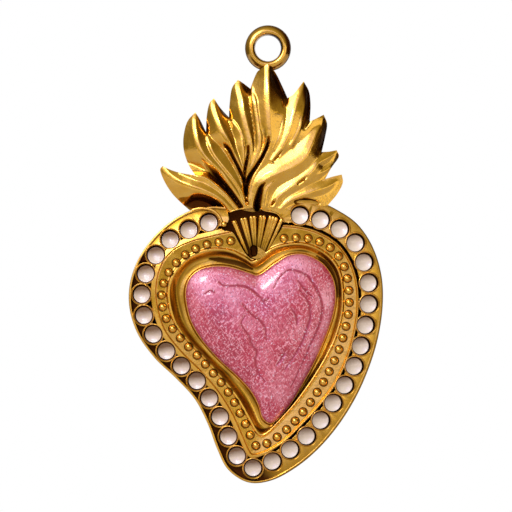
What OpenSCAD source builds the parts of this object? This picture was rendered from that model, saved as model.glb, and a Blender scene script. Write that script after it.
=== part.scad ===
// Sacred heart charm: a gilt casting with a crown of flames, filled with enamel.
// It hangs upright: x to the right, z up, the face towards -y.
// The origin is the centre of the hanging loop's bore.

/* [Heart] */
// Width of the heart
heart_w = 27.7; // [25:0.1:34]
// Height of the heart, from its point to its throat
heart_h = 29.9; // [27:0.1:36]
// Height of the outer rim above the back
rim_h = 1.95; // [1.8:0.05:2.4]
// Width of the outer rim
rim_w = 0.24; // [0.15:0.01:0.3]
// Rounding of the back edge
back_round = 0.35; // [0.1:0.05:0.6]

/* [Pearl channel] */
// Step from the rim down to the channel
channel_step = 0.05; // [0.02:0.01:0.1]
// Outward lean of the channel, in degrees
channel_lean = 12; // [6:1:15]
// Number of pearl drops
pearl_count = 32; // [28:1:34]
// Clearance between a drop and its cup's wall
pearl_clear = 0.02; // [0.01:0.01:0.04]
// Draft of a cup's wall, in degrees
cup_draft = 5; // [2:1:8]
// Depth of a cup
cup_depth = 0.8; // [0.7:0.05:0.9]
// Depth of a drop's edge below the mouth of its cup
pearl_sunk = 0.4; // [0.2:0.05:0.5]
// Dish of a drop's face, from its edge to its middle
pearl_dish = 0.12; // [0.05:0.01:0.2]
// Width of the flat edge round that dish
pearl_edge = 0.06; // [0.03:0.01:0.1]
// Least metal between the mouths of two cups
cup_web = 0.1; // [0.08:0.01:0.2]
// Least metal between a cup's mouth and the outside of the rim
rim_web = 0.15; // [0.1:0.01:0.3]
// Least metal between a cup and the corner pockets beside it
pocket_web = 0.1; // [0.08:0.01:0.2]
// Depth of those pockets
pocket_depth = 0.35; // [0.2:0.05:0.5]

/* [Wall and bead band] */
// Width of the raised wall inside the channel
wall_w = 0.3; // [0.2:0.01:0.35]
// Rise of that wall above the channel
wall_rise = 0.18; // [0.1:0.01:0.3]
// Depth of the bead band below the wall
band_depth = 0.25; // [0.15:0.05:0.35]
// Number of cast beads
bead_count = 48; // [40:1:50]
// Diameter of a cast bead
bead_d = 0.83; // [0.7:0.01:0.95]
// How far a bead's middle lies below the band
bead_sunk = 0.1; // [0.05:0.01:0.15]
// Width of the lip inside the band
lip_w = 0.2; // [0.1:0.01:0.25]
// Rise of the lip above the band
lip_rise = 0.2; // [0.1:0.05:0.3]

/* [Enamel pan] */
// Depth of the cove between the lip and the enamel
cove_depth = 1.1; // [0.9:0.05:1.2]
// Rise of the fence round the enamel above the cove
fence_rise = 0.3; // [0.2:0.05:0.4]
// Depth of the pan below its fence
pan_depth = 0.75; // [0.6:0.05:0.9]
// Rise of the enamel's dome above its fence
dome_rise = 1; // [0.5:0.05:1.2]

/* [Flames] */
// Width of the crown of flames
crown_w = 19.9; // [17:0.1:25]
// Height of the crown of flames
crown_h = 15.5; // [13:0.1:20]
// Height of the flames' back above the heart's back
flame_back = 0.15; // [0.1:0.05:0.2]
// Height of a flame's edge above the back
edge_h = 1.1; // [0.9:0.05:1.3]
// Height of a flame's ridge above the back
ridge_h = 3; // [2.6:0.05:3.4]
// Height of a flame's tip above the back
tip_h = 1.5; // [1.4:0.05:1.8]
// Thickness of the plate behind the flames
plate_t = 0.7; // [0.5:0.05:0.7]
// Drop of that plate's face below the flames' edges
plate_drop = 0.02; // [0.01:0.01:0.05]

/* [Fan] */
// Number of ribs in the fan
fan_ribs = 8; // [6:1:10]
// Diameter of a rib at the fan's top
rib_d = 0.72; // [0.6:0.02:0.8]
// Diameter of a rib at the fan's foot
rib_foot_d = 0.3; // [0.2:0.02:0.4]
// How far a rib's middle lies below the band
rib_sunk = 0.1; // [0.05:0.01:0.15]

/* [Loop] */
// Diameter of the loop's bore
loop_bore_d = 2.8; // [2.4:0.1:3.4]
// Width of the loop's wire, seen from the front
loop_wire_w = 1.1; // [1:0.05:1.3]
// Depth of the loop's wire, from front to back
loop_wire_t = 1.5; // [1.3:0.05:1.6]
// Rounding of the wire's edges
loop_round = 0.42; // [0.3:0.02:0.44]
// Height of the loop's middle plane above the back
loop_plane_h = 1; // [0.9:0.05:1.1]
// How far the middle flame's tip laps over the wire
loop_lap = 0.6; // [0.4:0.05:0.8]
// Metal of the middle flame's tip in front of the wire
loop_cover = 0.35; // [0.25:0.05:0.5]
// Film of solder between the wire and its seat
solder_t = 0.02; // [0.01:0.01:0.04]

/* [Hidden] */
$fn = 48;
bead_fn = 24;
pocket_fn = 3;
// Steps that a spline takes from one point to the next
outline_steps = 3;
row_steps = 8;
flame_steps = 2;

// Places seen from the front, in the pixels of the picture that they were read from. The heart's and the
// crown's sizes in pixels, the loop's centre and the throat's height turn them into millimetres.
heart_px = [254.5, 274.5];
crown_px = [182.5, 143];
loop_px = [268, 47.1];
throat_px = 208;

// Outlines, anticlockwise from the throat. Each point of one lies beside the same point of the next.
rim_px = [[256, 212], [234, 208.5], [212, 206.5], [190, 211], [169, 223], [151, 240.5], [137.5, 261],
    [129.8, 285], [130, 310], [138.5, 335], [155, 358], [176, 378], [195, 399], [208, 424], [217, 448],
    [228, 469], [248, 481.8], [271, 480], [295, 467.5], [317, 449.5], [337, 426.5], [354, 400],
    [367, 372], [377, 341], [382.3, 308], [381.5, 277], [373, 248], [358, 225], [338, 210.5],
    [316, 201], [293, 200], [273, 205]];
wall_px = [[256, 228], [240, 230], [224, 233], [207, 237], [190, 241.5], [173, 250], [161.5, 264.5],
    [156.2, 283.5], [157, 305], [165, 330], [181, 351], [200, 370], [217, 389.5], [231, 411],
    [241, 432.5], [248.5, 449.5], [254, 454], [268, 449.5], [285, 438.5], [301, 423], [317, 406],
    [332.5, 386], [344, 363.3], [352, 338.7], [356.7, 311], [356, 285], [350, 264], [338, 246],
    [321, 234.5], [303, 228.5], [286, 226.5], [270, 227]];
lip_px = [[254, 262], [245, 258], [233, 252], [219, 249.5], [204, 251], [188, 258], [175.5, 271.5],
    [169.3, 286], [169.5, 303], [175, 321], [187, 338], [206, 358.5], [224, 379.5], [237.5, 397.5],
    [249, 417.5], [257, 431], [262.5, 434], [270, 429], [280, 418.5], [292, 405.5], [304, 390],
    [315, 374], [325.5, 356.5], [334.5, 337.5], [341, 313], [341.7, 289], [338.5, 271],
    [329.5, 257.5], [316, 248.5], [302, 244.3], [287, 245], [272, 249.5]];
enamel_px = [[259, 274.5], [250, 273], [240, 269.7], [227, 266.5], [212, 266.3], [199, 270],
    [189.5, 278.5], [185.8, 290], [186.3, 302], [191, 321], [202, 340], [219, 359.5], [236.5, 375.5],
    [250.5, 390.5], [258, 404], [262, 417], [269, 423], [276, 420.5], [284, 412.5], [294, 399],
    [303.5, 382.5], [313, 365], [320.5, 349], [327.5, 332], [333, 315], [335.8, 297], [333.5, 280],
    [325.5, 266.5], [315, 258.5], [302, 254], [288, 255.5], [274, 264]];
// The middle line of the row of pearls and of the row of beads, from the throat's left to its right
pearl_row_px = [[209, 222], [170, 239], [145, 275], [144, 316], [167, 352], [197, 381], [220, 417],
    [237, 456], [254, 468], [273, 461], [308, 435], [334, 402], [354.5, 366.3], [366, 324], [369, 282],
    [354, 240], [320, 219], [300, 215]];
bead_row_px = [[231, 241], [208, 244.5], [187, 254], [170, 271], [162, 293], [166, 317], [180, 337],
    [205, 363], [228, 391], [245, 422], [255.5, 444.5], [267, 442.5], [287.5, 428], [310, 402],
    [329, 371], [342.5, 338], [349, 303], [344.5, 268], [330.5, 248], [308, 238.5], [284, 238.5]];
// Each flame from its tip to its root: the ridge's place, and the flame's reach to its left and right
flames_px = [
    [[161.5, 167.5, 1, 1], [171, 178, 8, 9], [182, 186, 13, 12], [196, 191, 17, 14],
        [214, 198, 14, 11], [232, 212, 6, 6]],
    [[195, 112.5, 1, 1], [194.5, 122, 8, 7.5], [196, 137, 12.5, 10.5], [201, 151, 15, 10],
        [214, 167, 12, 10], [230, 186, 8, 8], [242, 208, 5, 5]],
    [[214, 98, 1, 1], [213.5, 108, 6, 7.5], [217, 120, 10.5, 12], [223, 135, 14, 12],
        [233, 153, 9, 9], [240, 168, 6, 6], [247, 192, 5, 5]],
    [[238, 79.5, 1, 1], [239, 90, 8, 11], [241, 105, 12, 12], [246, 127, 12, 9],
        [249, 147, 8, 7], [247.5, 165, 5, 6], [247, 190, 5, 5]],
    [[267, 65, 1, 1], [267, 74, 11, 9], [266.5, 84, 13.5, 14.5], [266.5, 97, 16, 19],
        [268, 125, 12, 16], [265.5, 150, 8, 12], [256, 167, 6, 9], [250, 194, 6, 6]],
    [[303.5, 81, 1, 1], [300, 92, 7, 9.5], [295, 109, 11, 14.5], [290, 127, 10, 17],
        [281, 146, 9, 15], [265, 165, 8, 12], [256, 178, 6, 8]],
    [[323.5, 114.5, 1, 1], [312, 126, 5, 13], [304.5, 140, 8, 18], [296, 157, 8, 16],
        [278, 169, 8, 14], [262, 180, 7, 11], [252, 207, 5, 8]],
    [[336.5, 150, 1, 1], [326, 157, 5, 10.5], [314, 166, 9, 13], [301, 179, 9, 12],
        [286, 190, 9, 11], [274, 207, 8, 9]],
    [[341.5, 174.5, 1, 1], [332, 183, 6, 11], [318, 189.5, 10, 16], [300, 196, 9, 11],
        [283, 207, 7, 8]]];
// The plate behind the flames, which closes the gaps between them
plate_px = [[187, 199], [200, 172], [209, 134], [232, 121], [253, 96], [266, 80], [282, 104],
    [303, 124], [316, 153], [319, 180], [318, 200], [292, 214], [256, 222], [222, 216]];
// The corners of the fan: top left, top right, foot right and foot left
fan_px = [[233, 223], [281, 221], [264.5, 252], [248.5, 254]];
// The flame whose tip covers the loop's wire, counted from 0
middle_flame = 4;

// Rise of the fan's top edge at its middle, of the fan's height
fan_crown_share = 0.16;
// Reach of the lip, and of the cove's floor, across the strip from the lip's outline to the enamel's
lip_reach_share = 0.18;
cove_shares = [0.4, 0.85];
// Sizes of the dome's rings, of the enamel's outline, and how round the dome is
dome_ring_shares = [0.985, 0.94, 0.86, 0.74, 0.58, 0.36, 0.12];
dome_edge_share = 2.8;
dome_crown_share = 0.62;
// How quickly a flame's ridge gains its height
ridge_gain_share = 2.2;
// Place of a pocket's middle, of the radius of a cup's mouth
pocket_place_share = 0.76;

// One overrun for every cut. Above the cups it opens with their lean, so that it leaves no bridge of the wall.
cut = rim_h;
flare = cut * tan(channel_lean);

tip_z = -(loop_bore_d / 2 + loop_wire_w - loop_lap);
throat_z = tip_z - crown_h;

function heart_at(p) = [(p.x - loop_px.x) / heart_px.x * heart_w,
    throat_z + (throat_px - p.y) / heart_px.y * heart_h];
function crown_at(p) = [(p.x - loop_px.x) / crown_px.x * crown_w,
    throat_z + (throat_px - p.y) / crown_px.y * crown_h];
function crown_reach(r) = r / crown_px.x * crown_w;

function spline_point(a, b, c, d, t) =
    (2 * b + (c - a) * t + (2 * a - 5 * b + 4 * c - d) * t * t + (3 * b - a - 3 * c + d) * t * t * t) / 2;
// A closed spline through a ring of points
function closed_spline(p, steps) = let (n = len(p))
    [for (i = [0:n - 1], k = [0:steps - 1])
        spline_point(p[(i + n - 1) % n], p[i], p[(i + 1) % n], p[(i + 2) % n], k / steps)];
// A spline on past both ends of an open row of points
function open_spline(p, steps) =
    let (n = len(p), q = concat([2 * p[0] - p[1]], p, [2 * p[n - 1] - p[n - 2]]))
    concat([for (i = [0:n - 2], k = [0:steps - 1])
        spline_point(q[i], q[i + 1], q[i + 2], q[i + 3], k / steps)], [p[n - 1]]);

// Unit normal to the left of the way from a to b
function left_of(a, b) = let (d = b - a) [-d.y, d.x] / norm(d);
// A closed anticlockwise outline moved inward by d
function inset(line, d) = let (n = len(line))
    [for (i = [0:n - 1]) line[i] + d * left_of(line[(i + n - 1) % n], line[(i + 1) % n])];
// The line a share t of the way from a to b
function between(a, b, t) = [for (i = [0:len(a) - 1]) a[i] * (1 - t) + b[i] * t];
function at_height(line, h) = [for (p = line) [p.x, p.y, h]];

// Length of a path up to each of its points
function lengths(path) = [for (i = 0, s = 0; i < len(path);
    s = s + (i + 1 < len(path) ? norm(path[i + 1] - path[i]) : 0), i = i + 1) s];
// The place at a length s along a path, as [point, unit normal]
function place_on(path, sums, s) =
    let (i = max([for (k = [0:len(path) - 2]) if (k == 0 || sums[k] <= s) k]),
        t = (s - sums[i]) / (sums[i + 1] - sums[i]))
    [path[i] * (1 - t) + path[i + 1] * t, left_of(path[i], path[i + 1])];
// A number of even places along a path
function even_places(path, count) =
    let (sums = lengths(path), whole = sums[len(sums) - 1], gaps = count - 1)
    [for (k = [0:gaps]) place_on(path, sums, whole * min(k / gaps, 1))];

function heart_line(px) = closed_spline([for (p = px) heart_at(p)], outline_steps);
rim_line = heart_line(rim_px);
wall_line = heart_line(wall_px);
lip_line = heart_line(lip_px);
enamel_line = heart_line(enamel_px);
function row_line(px) = open_spline([for (p = px) heart_at(p)], row_steps);
pearl_places = even_places(row_line(pearl_row_px), pearl_count);
bead_places = even_places(row_line(bead_row_px), bead_count);

// The cups are as wide as their row and the rim beside it leave room for, and the pearls and pockets follow
pearl_pitch = min([for (k = [0:pearl_count - 2]) norm(pearl_places[k + 1][0] - pearl_places[k][0])]);
rim_gap = min([for (place = pearl_places, p = rim_line) norm(place[0] - p)]);
mouth_d = min(pearl_pitch - cup_web, 2 * (rim_gap - rim_web));
pearl_d = mouth_d - 2 * cup_depth * tan(cup_draft);
pocket_out = pocket_place_share * mouth_d / 2;
pocket_r = pocket_out + pearl_pitch * cos(180 / (2 * pocket_fn)) - 2 * (mouth_d / 2 + pocket_web);

// Heights above the back. The channel rises inward at its lean, over its width beside the heart.
beside = len(rim_line) / 4;
channel_w = norm(rim_line[beside] - wall_line[beside]) - rim_w - wall_w;
channel_foot_h = rim_h - channel_step;
channel_head_h = channel_foot_h + channel_w * tan(channel_lean);
mouth_h = (channel_foot_h + channel_head_h) / 2;
wall_h = channel_head_h + wall_rise;
band_h = wall_h - band_depth;
lip_h = band_h + lip_rise;
cove_h = lip_h - cove_depth;
fence_h = cove_h + fence_rise;
pan_h = fence_h - pan_depth;

function pearl_name(k) = str("pearl_", k < 10 ? "0" : "", k);

// Middle of a ring of points
function mean(ring) = [for (p = ring) 1] * ring / len(ring);

// Closed solid through a stack of anticlockwise rings with as many points each, from the bottom up.
// Each end is closed by triangles about its middle.
module loft(rings) {
    n = len(rings[0]);
    last = len(rings) - 1;
    foot = len(rings) * n;
    head = foot + 1;
    polyhedron(
        points = concat([for (r = rings) each r], [mean(rings[0]), mean(rings[last])]),
        faces = concat(
            [for (k = [0:n - 1]) [foot, k, (k + 1) % n]],
            [for (j = [0:last - 1], k = [0:n - 1]) let (a = j * n + k, b = j * n + (k + 1) % n)
                each [[a, b + n, b], [a, a + n, b + n]]],
            [for (k = [0:n - 1]) [head, last * n + (k + 1) % n, last * n + k]]),
        convexity = 8);
}

// Everything is drawn on its back, with x and y as in the picture, and then stood up
module stand() {
    translate([0, loop_plane_h, 0])
        rotate([90, 0, 0])
            children();
}

// The origin at the mouth of a cup, z out of the cup, x away from the heart's middle
module at_mouth(place) {
    out = -place[1];
    translate([place[0].x, place[0].y, mouth_h])
        rotate([0, 0, atan2(out.y, out.x)])
            rotate([0, channel_lean, 0])
                children();
}

module frame_shell() {
    loft([
        at_height(inset(rim_line, back_round), 0),
        at_height(rim_line, back_round),
        at_height(rim_line, rim_h),
        at_height(inset(rim_line, rim_w), rim_h),
        at_height(inset(rim_line, rim_w + channel_step), channel_foot_h),
        at_height(inset(wall_line, -wall_w), channel_head_h),
        at_height(inset(wall_line, -wall_w), wall_h),
        at_height(wall_line, wall_h),
        at_height(wall_line, band_h),
        at_height(inset(lip_line, -lip_w), band_h),
        at_height(lip_line, lip_h),
        at_height(between(lip_line, enamel_line, lip_reach_share), lip_h),
        at_height(between(lip_line, enamel_line, cove_shares[0]), cove_h),
        at_height(between(lip_line, enamel_line, cove_shares[1]), cove_h),
        at_height(enamel_line, fence_h),
        at_height(enamel_line, pan_h)]);
}

module beads() {
    for (place = bead_places)
        translate([place[0].x, place[0].y, band_h - bead_sunk])
            sphere(d = bead_d, $fn = bead_fn);
}

module cups() {
    for (place = pearl_places)
        at_mouth(place) {
            translate([0, 0, -cup_depth])
                cylinder(d1 = pearl_d, d2 = mouth_d, h = cup_depth);
            cylinder(d1 = mouth_d, d2 = mouth_d + 2 * flare, h = cut);
        }
}

module pockets() {
    for (k = [0:pearl_count - 2], side = [-1, 1]) {
        at_mouth((pearl_places[k] + pearl_places[k + 1]) / 2)
            translate([side * pocket_out, 0, 0])
                rotate([0, 0, side > 0 ? 180 : 0]) {
                    translate([0, 0, -pocket_depth])
                        cylinder(r = pocket_r, h = pocket_depth, $fn = pocket_fn);
                    cylinder(r1 = pocket_r, r2 = pocket_r + 2 * flare, h = cut, $fn = pocket_fn);
                }
    }
}

// Height of a flame's ridge at a share t of the way from its tip to its root
function ridge_at(top, t) = top + (ridge_h - top) * (1 - pow(1 - t, ridge_gain_share));

module flame(px, top) {
    path = open_spline(
        [for (p = px) concat(crown_at(p), [crown_reach(p[2]), crown_reach(p[3])])],
        flame_steps);
    n = len(path);
    loft([for (i = [0:n - 1]) let (
            here = [path[i].x, path[i].y],
            before = path[max(i - 1, 0)],
            after = path[min(i + 1, n - 1)],
            side = left_of([after.x, after.y], [before.x, before.y]),
            left = here + side * path[i][2],
            right = here - side * path[i][3])
        [
            [right.x, right.y, flame_back],
            [right.x, right.y, edge_h],
            [here.x, here.y, ridge_at(top, i / (n - 1))],
            [left.x, left.y, edge_h],
            [left.x, left.y, flame_back]
        ]]);
}

module crown() {
    cover_h = loop_plane_h + loop_wire_t / 2 + loop_cover;
    for (i = [0:len(flames_px) - 1])
        flame(flames_px[i], i == middle_flame ? cover_h : tip_h);
    translate([0, 0, edge_h - plate_drop - plate_t])
        linear_extrude(plate_t)
            polygon([for (p = plate_px) crown_at(p)]);
}

module fan() {
    corners = [for (p = fan_px) heart_at(p)];
    height = norm(corners[0] - corners[3]);
    translate([0, 0, pan_h])
        linear_extrude(band_h - pan_h)
            polygon(corners);
    for (i = [0:fan_ribs - 1]) {
        t = i / (fan_ribs - 1);
        top = corners[0] * (1 - t) + corners[1] * t + [0, height * fan_crown_share * sin(180 * t)];
        foot = corners[3] * (1 - t) + corners[2] * t;
        way = top - foot;
        translate([foot.x, foot.y, band_h - rib_sunk])
            rotate([0, 0, atan2(way.y, way.x)])
                rotate([0, 90, 0])
                    cylinder(d1 = rib_foot_d, d2 = rib_d, h = norm(way));
    }
}

// Section of the loop's wire, grown by a film on every side
module wire_section(film) {
    size = [loop_wire_w + 2 * film, loop_wire_t + 2 * film];
    r = loop_round + film;
    translate([loop_bore_d / 2 - film, -size.y / 2]) {
        translate([r, 0])
            square([size.x - 2 * r, size.y]);
        translate([0, r])
            square([size.x, size.y - 2 * r]);
        for (x = [r, size.x - r], y = [r, size.y - r])
            translate([x, y])
                circle(r);
    }
}

module loop_wire(film) {
    translate([0, 0, loop_plane_h])
        rotate_extrude()
            wire_section(film);
}

// The seat of the loop behind the middle flame's tip, open towards the back
module loop_seat() {
    loop_wire(solder_t);
    translate([0, 0, loop_plane_h - cut])
        difference() {
            cylinder(d = loop_bore_d + 2 * (loop_wire_w + solder_t), h = cut);
            translate([0, 0, -cut])
                cylinder(d = loop_bore_d - 2 * solder_t, h = 3 * cut);
        }
}

module cast_body() {
    color("goldenrod")
        stand()
            difference() {
                union() {
                    frame_shell();
                    beads();
                    crown();
                    fan();
                }
                cups();
                pockets();
                loop_seat();
            }
}

module hanging_loop() {
    color("gold")
        stand()
            loop_wire(0);
}

// Height of the enamel's dome at a share of the way from its middle to its edge
function dome_at(share) = fence_h + dome_rise * pow(1 - pow(share, dome_edge_share), dome_crown_share);

module enamel_heart() {
    xs = [for (p = enamel_line) p.x];
    ys = [for (p = enamel_line) p.y];
    middle = [max(xs) + min(xs), max(ys) + min(ys)] / 2;
    around = [for (p = enamel_line) middle];
    color("palevioletred")
        stand()
            loft(concat(
                [at_height(enamel_line, pan_h), at_height(enamel_line, fence_h)],
                [for (share = dome_ring_shares)
                    at_height(between(around, enamel_line, share), dome_at(share))]));
}

module pearl(k) {
    face_r = pearl_d / 2 - pearl_clear + (cup_depth - pearl_sunk) * tan(cup_draft);
    dish_r = face_r - pearl_edge;
    ball_r = (dish_r * dish_r + pearl_dish * pearl_dish) / (2 * pearl_dish);
    color("seashell")
        stand()
            at_mouth(pearl_places[k - 1])
                difference() {
                    translate([0, 0, -cup_depth])
                        cylinder(r1 = pearl_d / 2 - pearl_clear, r2 = face_r, h = cup_depth - pearl_sunk);
                    translate([0, 0, ball_r - pearl_sunk - pearl_dish])
                        sphere(r = ball_r);
                }
}

cast_body();
hanging_loop();
enamel_heart();
for (k = [1:pearl_count]) pearl(k);
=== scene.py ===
# %% [markdown]
# # A sacred heart charm
# The charm is a gilt casting with a crown of flames, a hanging loop, a row of pearl-white enamel drops and
# a heart of pink enamel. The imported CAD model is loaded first, because every piece made here goes where it
# says.

# %% Load the frame
import math

import bmesh
import bpy
import numpy as np
from mathutils import Matrix, Vector, noise


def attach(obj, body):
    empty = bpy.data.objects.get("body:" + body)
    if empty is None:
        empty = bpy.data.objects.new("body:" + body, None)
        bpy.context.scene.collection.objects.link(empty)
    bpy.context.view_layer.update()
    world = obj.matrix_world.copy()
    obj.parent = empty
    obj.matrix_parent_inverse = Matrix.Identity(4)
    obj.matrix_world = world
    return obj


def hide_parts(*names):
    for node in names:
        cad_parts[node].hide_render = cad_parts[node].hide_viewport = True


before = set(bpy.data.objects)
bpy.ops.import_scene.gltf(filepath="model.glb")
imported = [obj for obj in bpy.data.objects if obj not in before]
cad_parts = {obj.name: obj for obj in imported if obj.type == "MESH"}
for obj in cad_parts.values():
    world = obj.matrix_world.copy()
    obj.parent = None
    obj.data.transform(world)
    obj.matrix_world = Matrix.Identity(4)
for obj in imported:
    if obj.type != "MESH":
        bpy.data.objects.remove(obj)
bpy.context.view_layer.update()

# %% [markdown]
# ## Millimetres on the bench
# A jeweller's charm is far smaller than a metre, so it is easier to draw in millimetres, lying on its back
# as on the bench: x to the right, y up the heart, h above the back. `stand` turns such points into the
# upright frame in metres at the very end. Places are read from the front view in pixels, and two scales,
# one for the heart and one for the crown of flames, turn them into millimetres in the same way as the CAD
# source does.

# %% Scales
MM = 0.001
PHOTO_PX = 512
LOOP_PX = np.array([268.0, 47.1])
THROAT_PX = 208.0
THROAT_Y = -17.4
HEART_MM_PER_PX = np.array([27.7 / 254.5, 29.9 / 274.5])
CROWN_MM_PER_PX = np.array([19.9 / 182.5, 15.5 / 143.0])
LOOP_PLANE_H = 1.0


def placed(px, scale):
    """Pixels of the front view as millimetres on the bench."""
    px = np.asarray(px, float)
    out = px.copy()
    out[..., 0] = (px[..., 0] - LOOP_PX[0]) * scale[0]
    out[..., 1] = THROAT_Y + (THROAT_PX - px[..., 1]) * scale[1]
    return out


def heart_at(px):
    return placed(px, HEART_MM_PER_PX)


def crown_at(px):
    return placed(px, CROWN_MM_PER_PX)


def stand(points):
    """Bench millimetres as the upright frame in metres."""
    p = np.asarray(points, float)
    return np.stack([p[:, 0], LOOP_PLANE_H - p[:, 2], p[:, 1]], axis=1) * MM


print("throat at", heart_at([PHOTO_PX / 2, THROAT_PX]).round(2), "mm")

# %% [markdown]
# ## Splines
# A hand-cut outline has no corners except at its tips, so the points that were read are joined by a smooth
# line. The spline used here passes through every point, which a curve with guessed handles would not.

# %% Splines and insets


def spline(points, steps, closed=False):
    """A smooth row of points through the given ones."""
    p = np.asarray(points, float)
    q = np.vstack([p[-1:], p, p[:2]]) if closed else np.vstack([2 * p[0] - p[1], p, 2 * p[-1] - p[-2]])
    a, b, c, d = (q[i : len(q) - 3 + i, None] for i in range(4))
    t = (np.arange(steps) / steps)[None, :, None]
    s = (2 * b + (c - a) * t + (2 * a - 5 * b + 4 * c - d) * t**2 + (3 * b - a - 3 * c + d) * t**3) / 2
    s = s.reshape(-1, p.shape[1])
    return s if closed else np.vstack([s, p[-1:]])


def left_normals(line, closed=True):
    """Unit normals to the left of the way along a line."""
    if closed:
        d = np.roll(line, -1, 0) - np.roll(line, 1, 0)
    else:
        d = np.gradient(line, axis=0)
    d = d[:, :2]
    return np.stack([-d[:, 1], d[:, 0]], 1) / np.linalg.norm(d, axis=1)[:, None]


def inset(line, d):
    """A closed anticlockwise outline moved inward."""
    return line + np.asarray(d).reshape(-1, 1) * left_normals(line)


def between(a, b, share):
    return a * (1 - share) + b * share


round_square = spline([[0, 0], [1, 0], [1, 1], [0, 1]], 3, closed=True)
print("a spline of 4 points in 3 steps has", len(round_square), "points")

# %% [markdown]
# ## Solids from rings
# Nearly every form on the charm is a skin stretched over rings of points: the frame's mouldings, a bead, a
# drop. One function stretches it, and another joins or cuts closed solids with Blender's boolean, which is
# how the real parts are built up too: solder adds, and the graver takes away.

# %% Mesh helpers


def ring_mesh(name, rings):
    """A closed mesh through a stack of rings, from the bottom up, each end closed about its middle."""
    rings = np.asarray(rings, float)
    m, n = rings.shape[:2]
    points = np.vstack([rings.reshape(-1, 3), rings[0].mean(0), rings[-1].mean(0)])
    foot, head = m * n, m * n + 1
    k = np.arange(n)
    nxt = (k + 1) % n
    faces = []
    for j in range(m - 1):
        a, b = j * n + k, j * n + nxt
        faces += np.stack([a, b, b + n, a + n], 1).tolist()
    top = (m - 1) * n
    faces += np.stack([np.full(n, foot), nxt, k], 1).tolist()
    faces += np.stack([np.full(n, head), top + k, top + nxt], 1).tolist()
    mesh = bpy.data.meshes.new(name)
    mesh.from_pydata(points.tolist(), [], faces)
    mesh.validate()
    return mesh


def new_object(name, mesh):
    obj = bpy.data.objects.new(name, mesh)
    bpy.context.scene.collection.objects.link(obj)
    return obj


def applied(obj):
    """Turns an object's modifiers into its own mesh."""
    shown = obj.evaluated_get(bpy.context.evaluated_depsgraph_get())
    mesh = bpy.data.meshes.new_from_object(shown)
    obj.modifiers.clear()
    old = obj.data
    obj.data = mesh
    bpy.data.meshes.remove(old)


def joined(obj, mesh, operation):
    """Adds a closed mesh to an object, or cuts it out: UNION, DIFFERENCE or INTERSECT."""
    tool = new_object("tool", mesh)
    step = obj.modifiers.new("step", "BOOLEAN")
    step.operation = operation
    step.solver = "MANIFOLD"
    step.object = tool
    applied(obj)
    bpy.data.objects.remove(tool)
    bpy.data.meshes.remove(mesh)


def level(line, h):
    """A flat outline at a height above the back."""
    return np.column_stack([line, np.broadcast_to(h, len(line))])


# %% [markdown]
# ## The heart's outlines
# Four outlines carry the whole frame: the rim, the wall inside the pearls, the lip inside the beads, and
# the edge of the enamel. Each point of one lies beside the same point of the next, so that a strip between
# two of them never twists. Two open lines carry the row of pearls and the row of beads.

# %% Outlines
RIM_PX = [
    (256, 212), (234, 208.5), (212, 206.5), (190, 211), (169, 223), (151, 240.5), (137.5, 261),
    (129.8, 285), (130, 310), (138.5, 335), (155, 358), (176, 378), (195, 399), (208, 424), (217, 448),
    (228, 469), (248, 481.8), (271, 480), (295, 467.5), (317, 449.5), (337, 426.5), (354, 400),
    (367, 372), (377, 341), (382.3, 308), (381.5, 277), (373, 248), (358, 225), (338, 210.5), (316, 201),
    (293, 200), (273, 205),
]
WALL_PX = [
    (256, 228), (240, 230), (224, 233), (207, 237), (190, 241.5), (173, 250), (161.5, 264.5),
    (156.2, 283.5), (157, 305), (165, 330), (181, 351), (200, 370), (217, 389.5), (231, 411),
    (241, 432.5), (248.5, 449.5), (254, 454), (268, 449.5), (285, 438.5), (301, 423), (317, 406),
    (332.5, 386), (344, 363.3), (352, 338.7), (356.7, 311), (356, 285), (350, 264), (338, 246),
    (321, 234.5), (303, 228.5), (286, 226.5), (270, 227),
]
LIP_PX = [
    (254, 262), (245, 258), (233, 252), (219, 249.5), (204, 251), (188, 258), (175.5, 271.5),
    (169.3, 286), (169.5, 303), (175, 321), (187, 338), (206, 358.5), (224, 379.5), (237.5, 397.5),
    (249, 417.5), (257, 431), (262.5, 434), (270, 429), (280, 418.5), (292, 405.5), (304, 390),
    (315, 374), (325.5, 356.5), (334.5, 337.5), (341, 313), (341.7, 289), (338.5, 271), (329.5, 257.5),
    (316, 248.5), (302, 244.3), (287, 245), (272, 249.5),
]
ENAMEL_PX = [
    (259, 274.5), (250, 273), (240, 269.7), (227, 266.5), (212, 266.3), (199, 270), (189.5, 278.5),
    (185.8, 290), (186.3, 302), (191, 321), (202, 340), (219, 359.5), (236.5, 375.5), (250.5, 390.5),
    (258, 404), (262, 417), (269, 423), (276, 420.5), (284, 412.5), (294, 399), (303.5, 382.5),
    (313, 365), (320.5, 349), (327.5, 332), (333, 315), (335.8, 297), (333.5, 280), (325.5, 266.5),
    (315, 258.5), (302, 254), (288, 255.5), (274, 264),
]
PEARL_ROW_PX = [
    (209, 222), (170, 239), (145, 275), (144, 316), (167, 352), (197, 381), (220, 417), (237, 456),
    (254, 468), (273, 461), (308, 435), (334, 402), (354.5, 366.3), (366, 324), (369, 282), (354, 240),
    (320, 219), (300, 215),
]
BEAD_ROW_PX = [
    (231, 241), (208, 244.5), (187, 254), (170, 271), (162, 293), (166, 317), (180, 337), (205, 363),
    (228, 391), (245, 422), (255.5, 444.5), (267, 442.5), (287.5, 428), (310, 402), (329, 371),
    (342.5, 338), (349, 303), (344.5, 268), (330.5, 248), (308, 238.5), (284, 238.5),
]
OUTLINE_STEPS = 12
ROW_STEPS = 8
rim, wall, lip, enamel = (
    spline(heart_at(px), OUTLINE_STEPS, closed=True) for px in (RIM_PX, WALL_PX, LIP_PX, ENAMEL_PX)
)
for name, line in (("heart", rim), ("enamel", enamel)):
    print(name, "is", (line.max(0) - line.min(0)).round(2), "mm")

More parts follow.
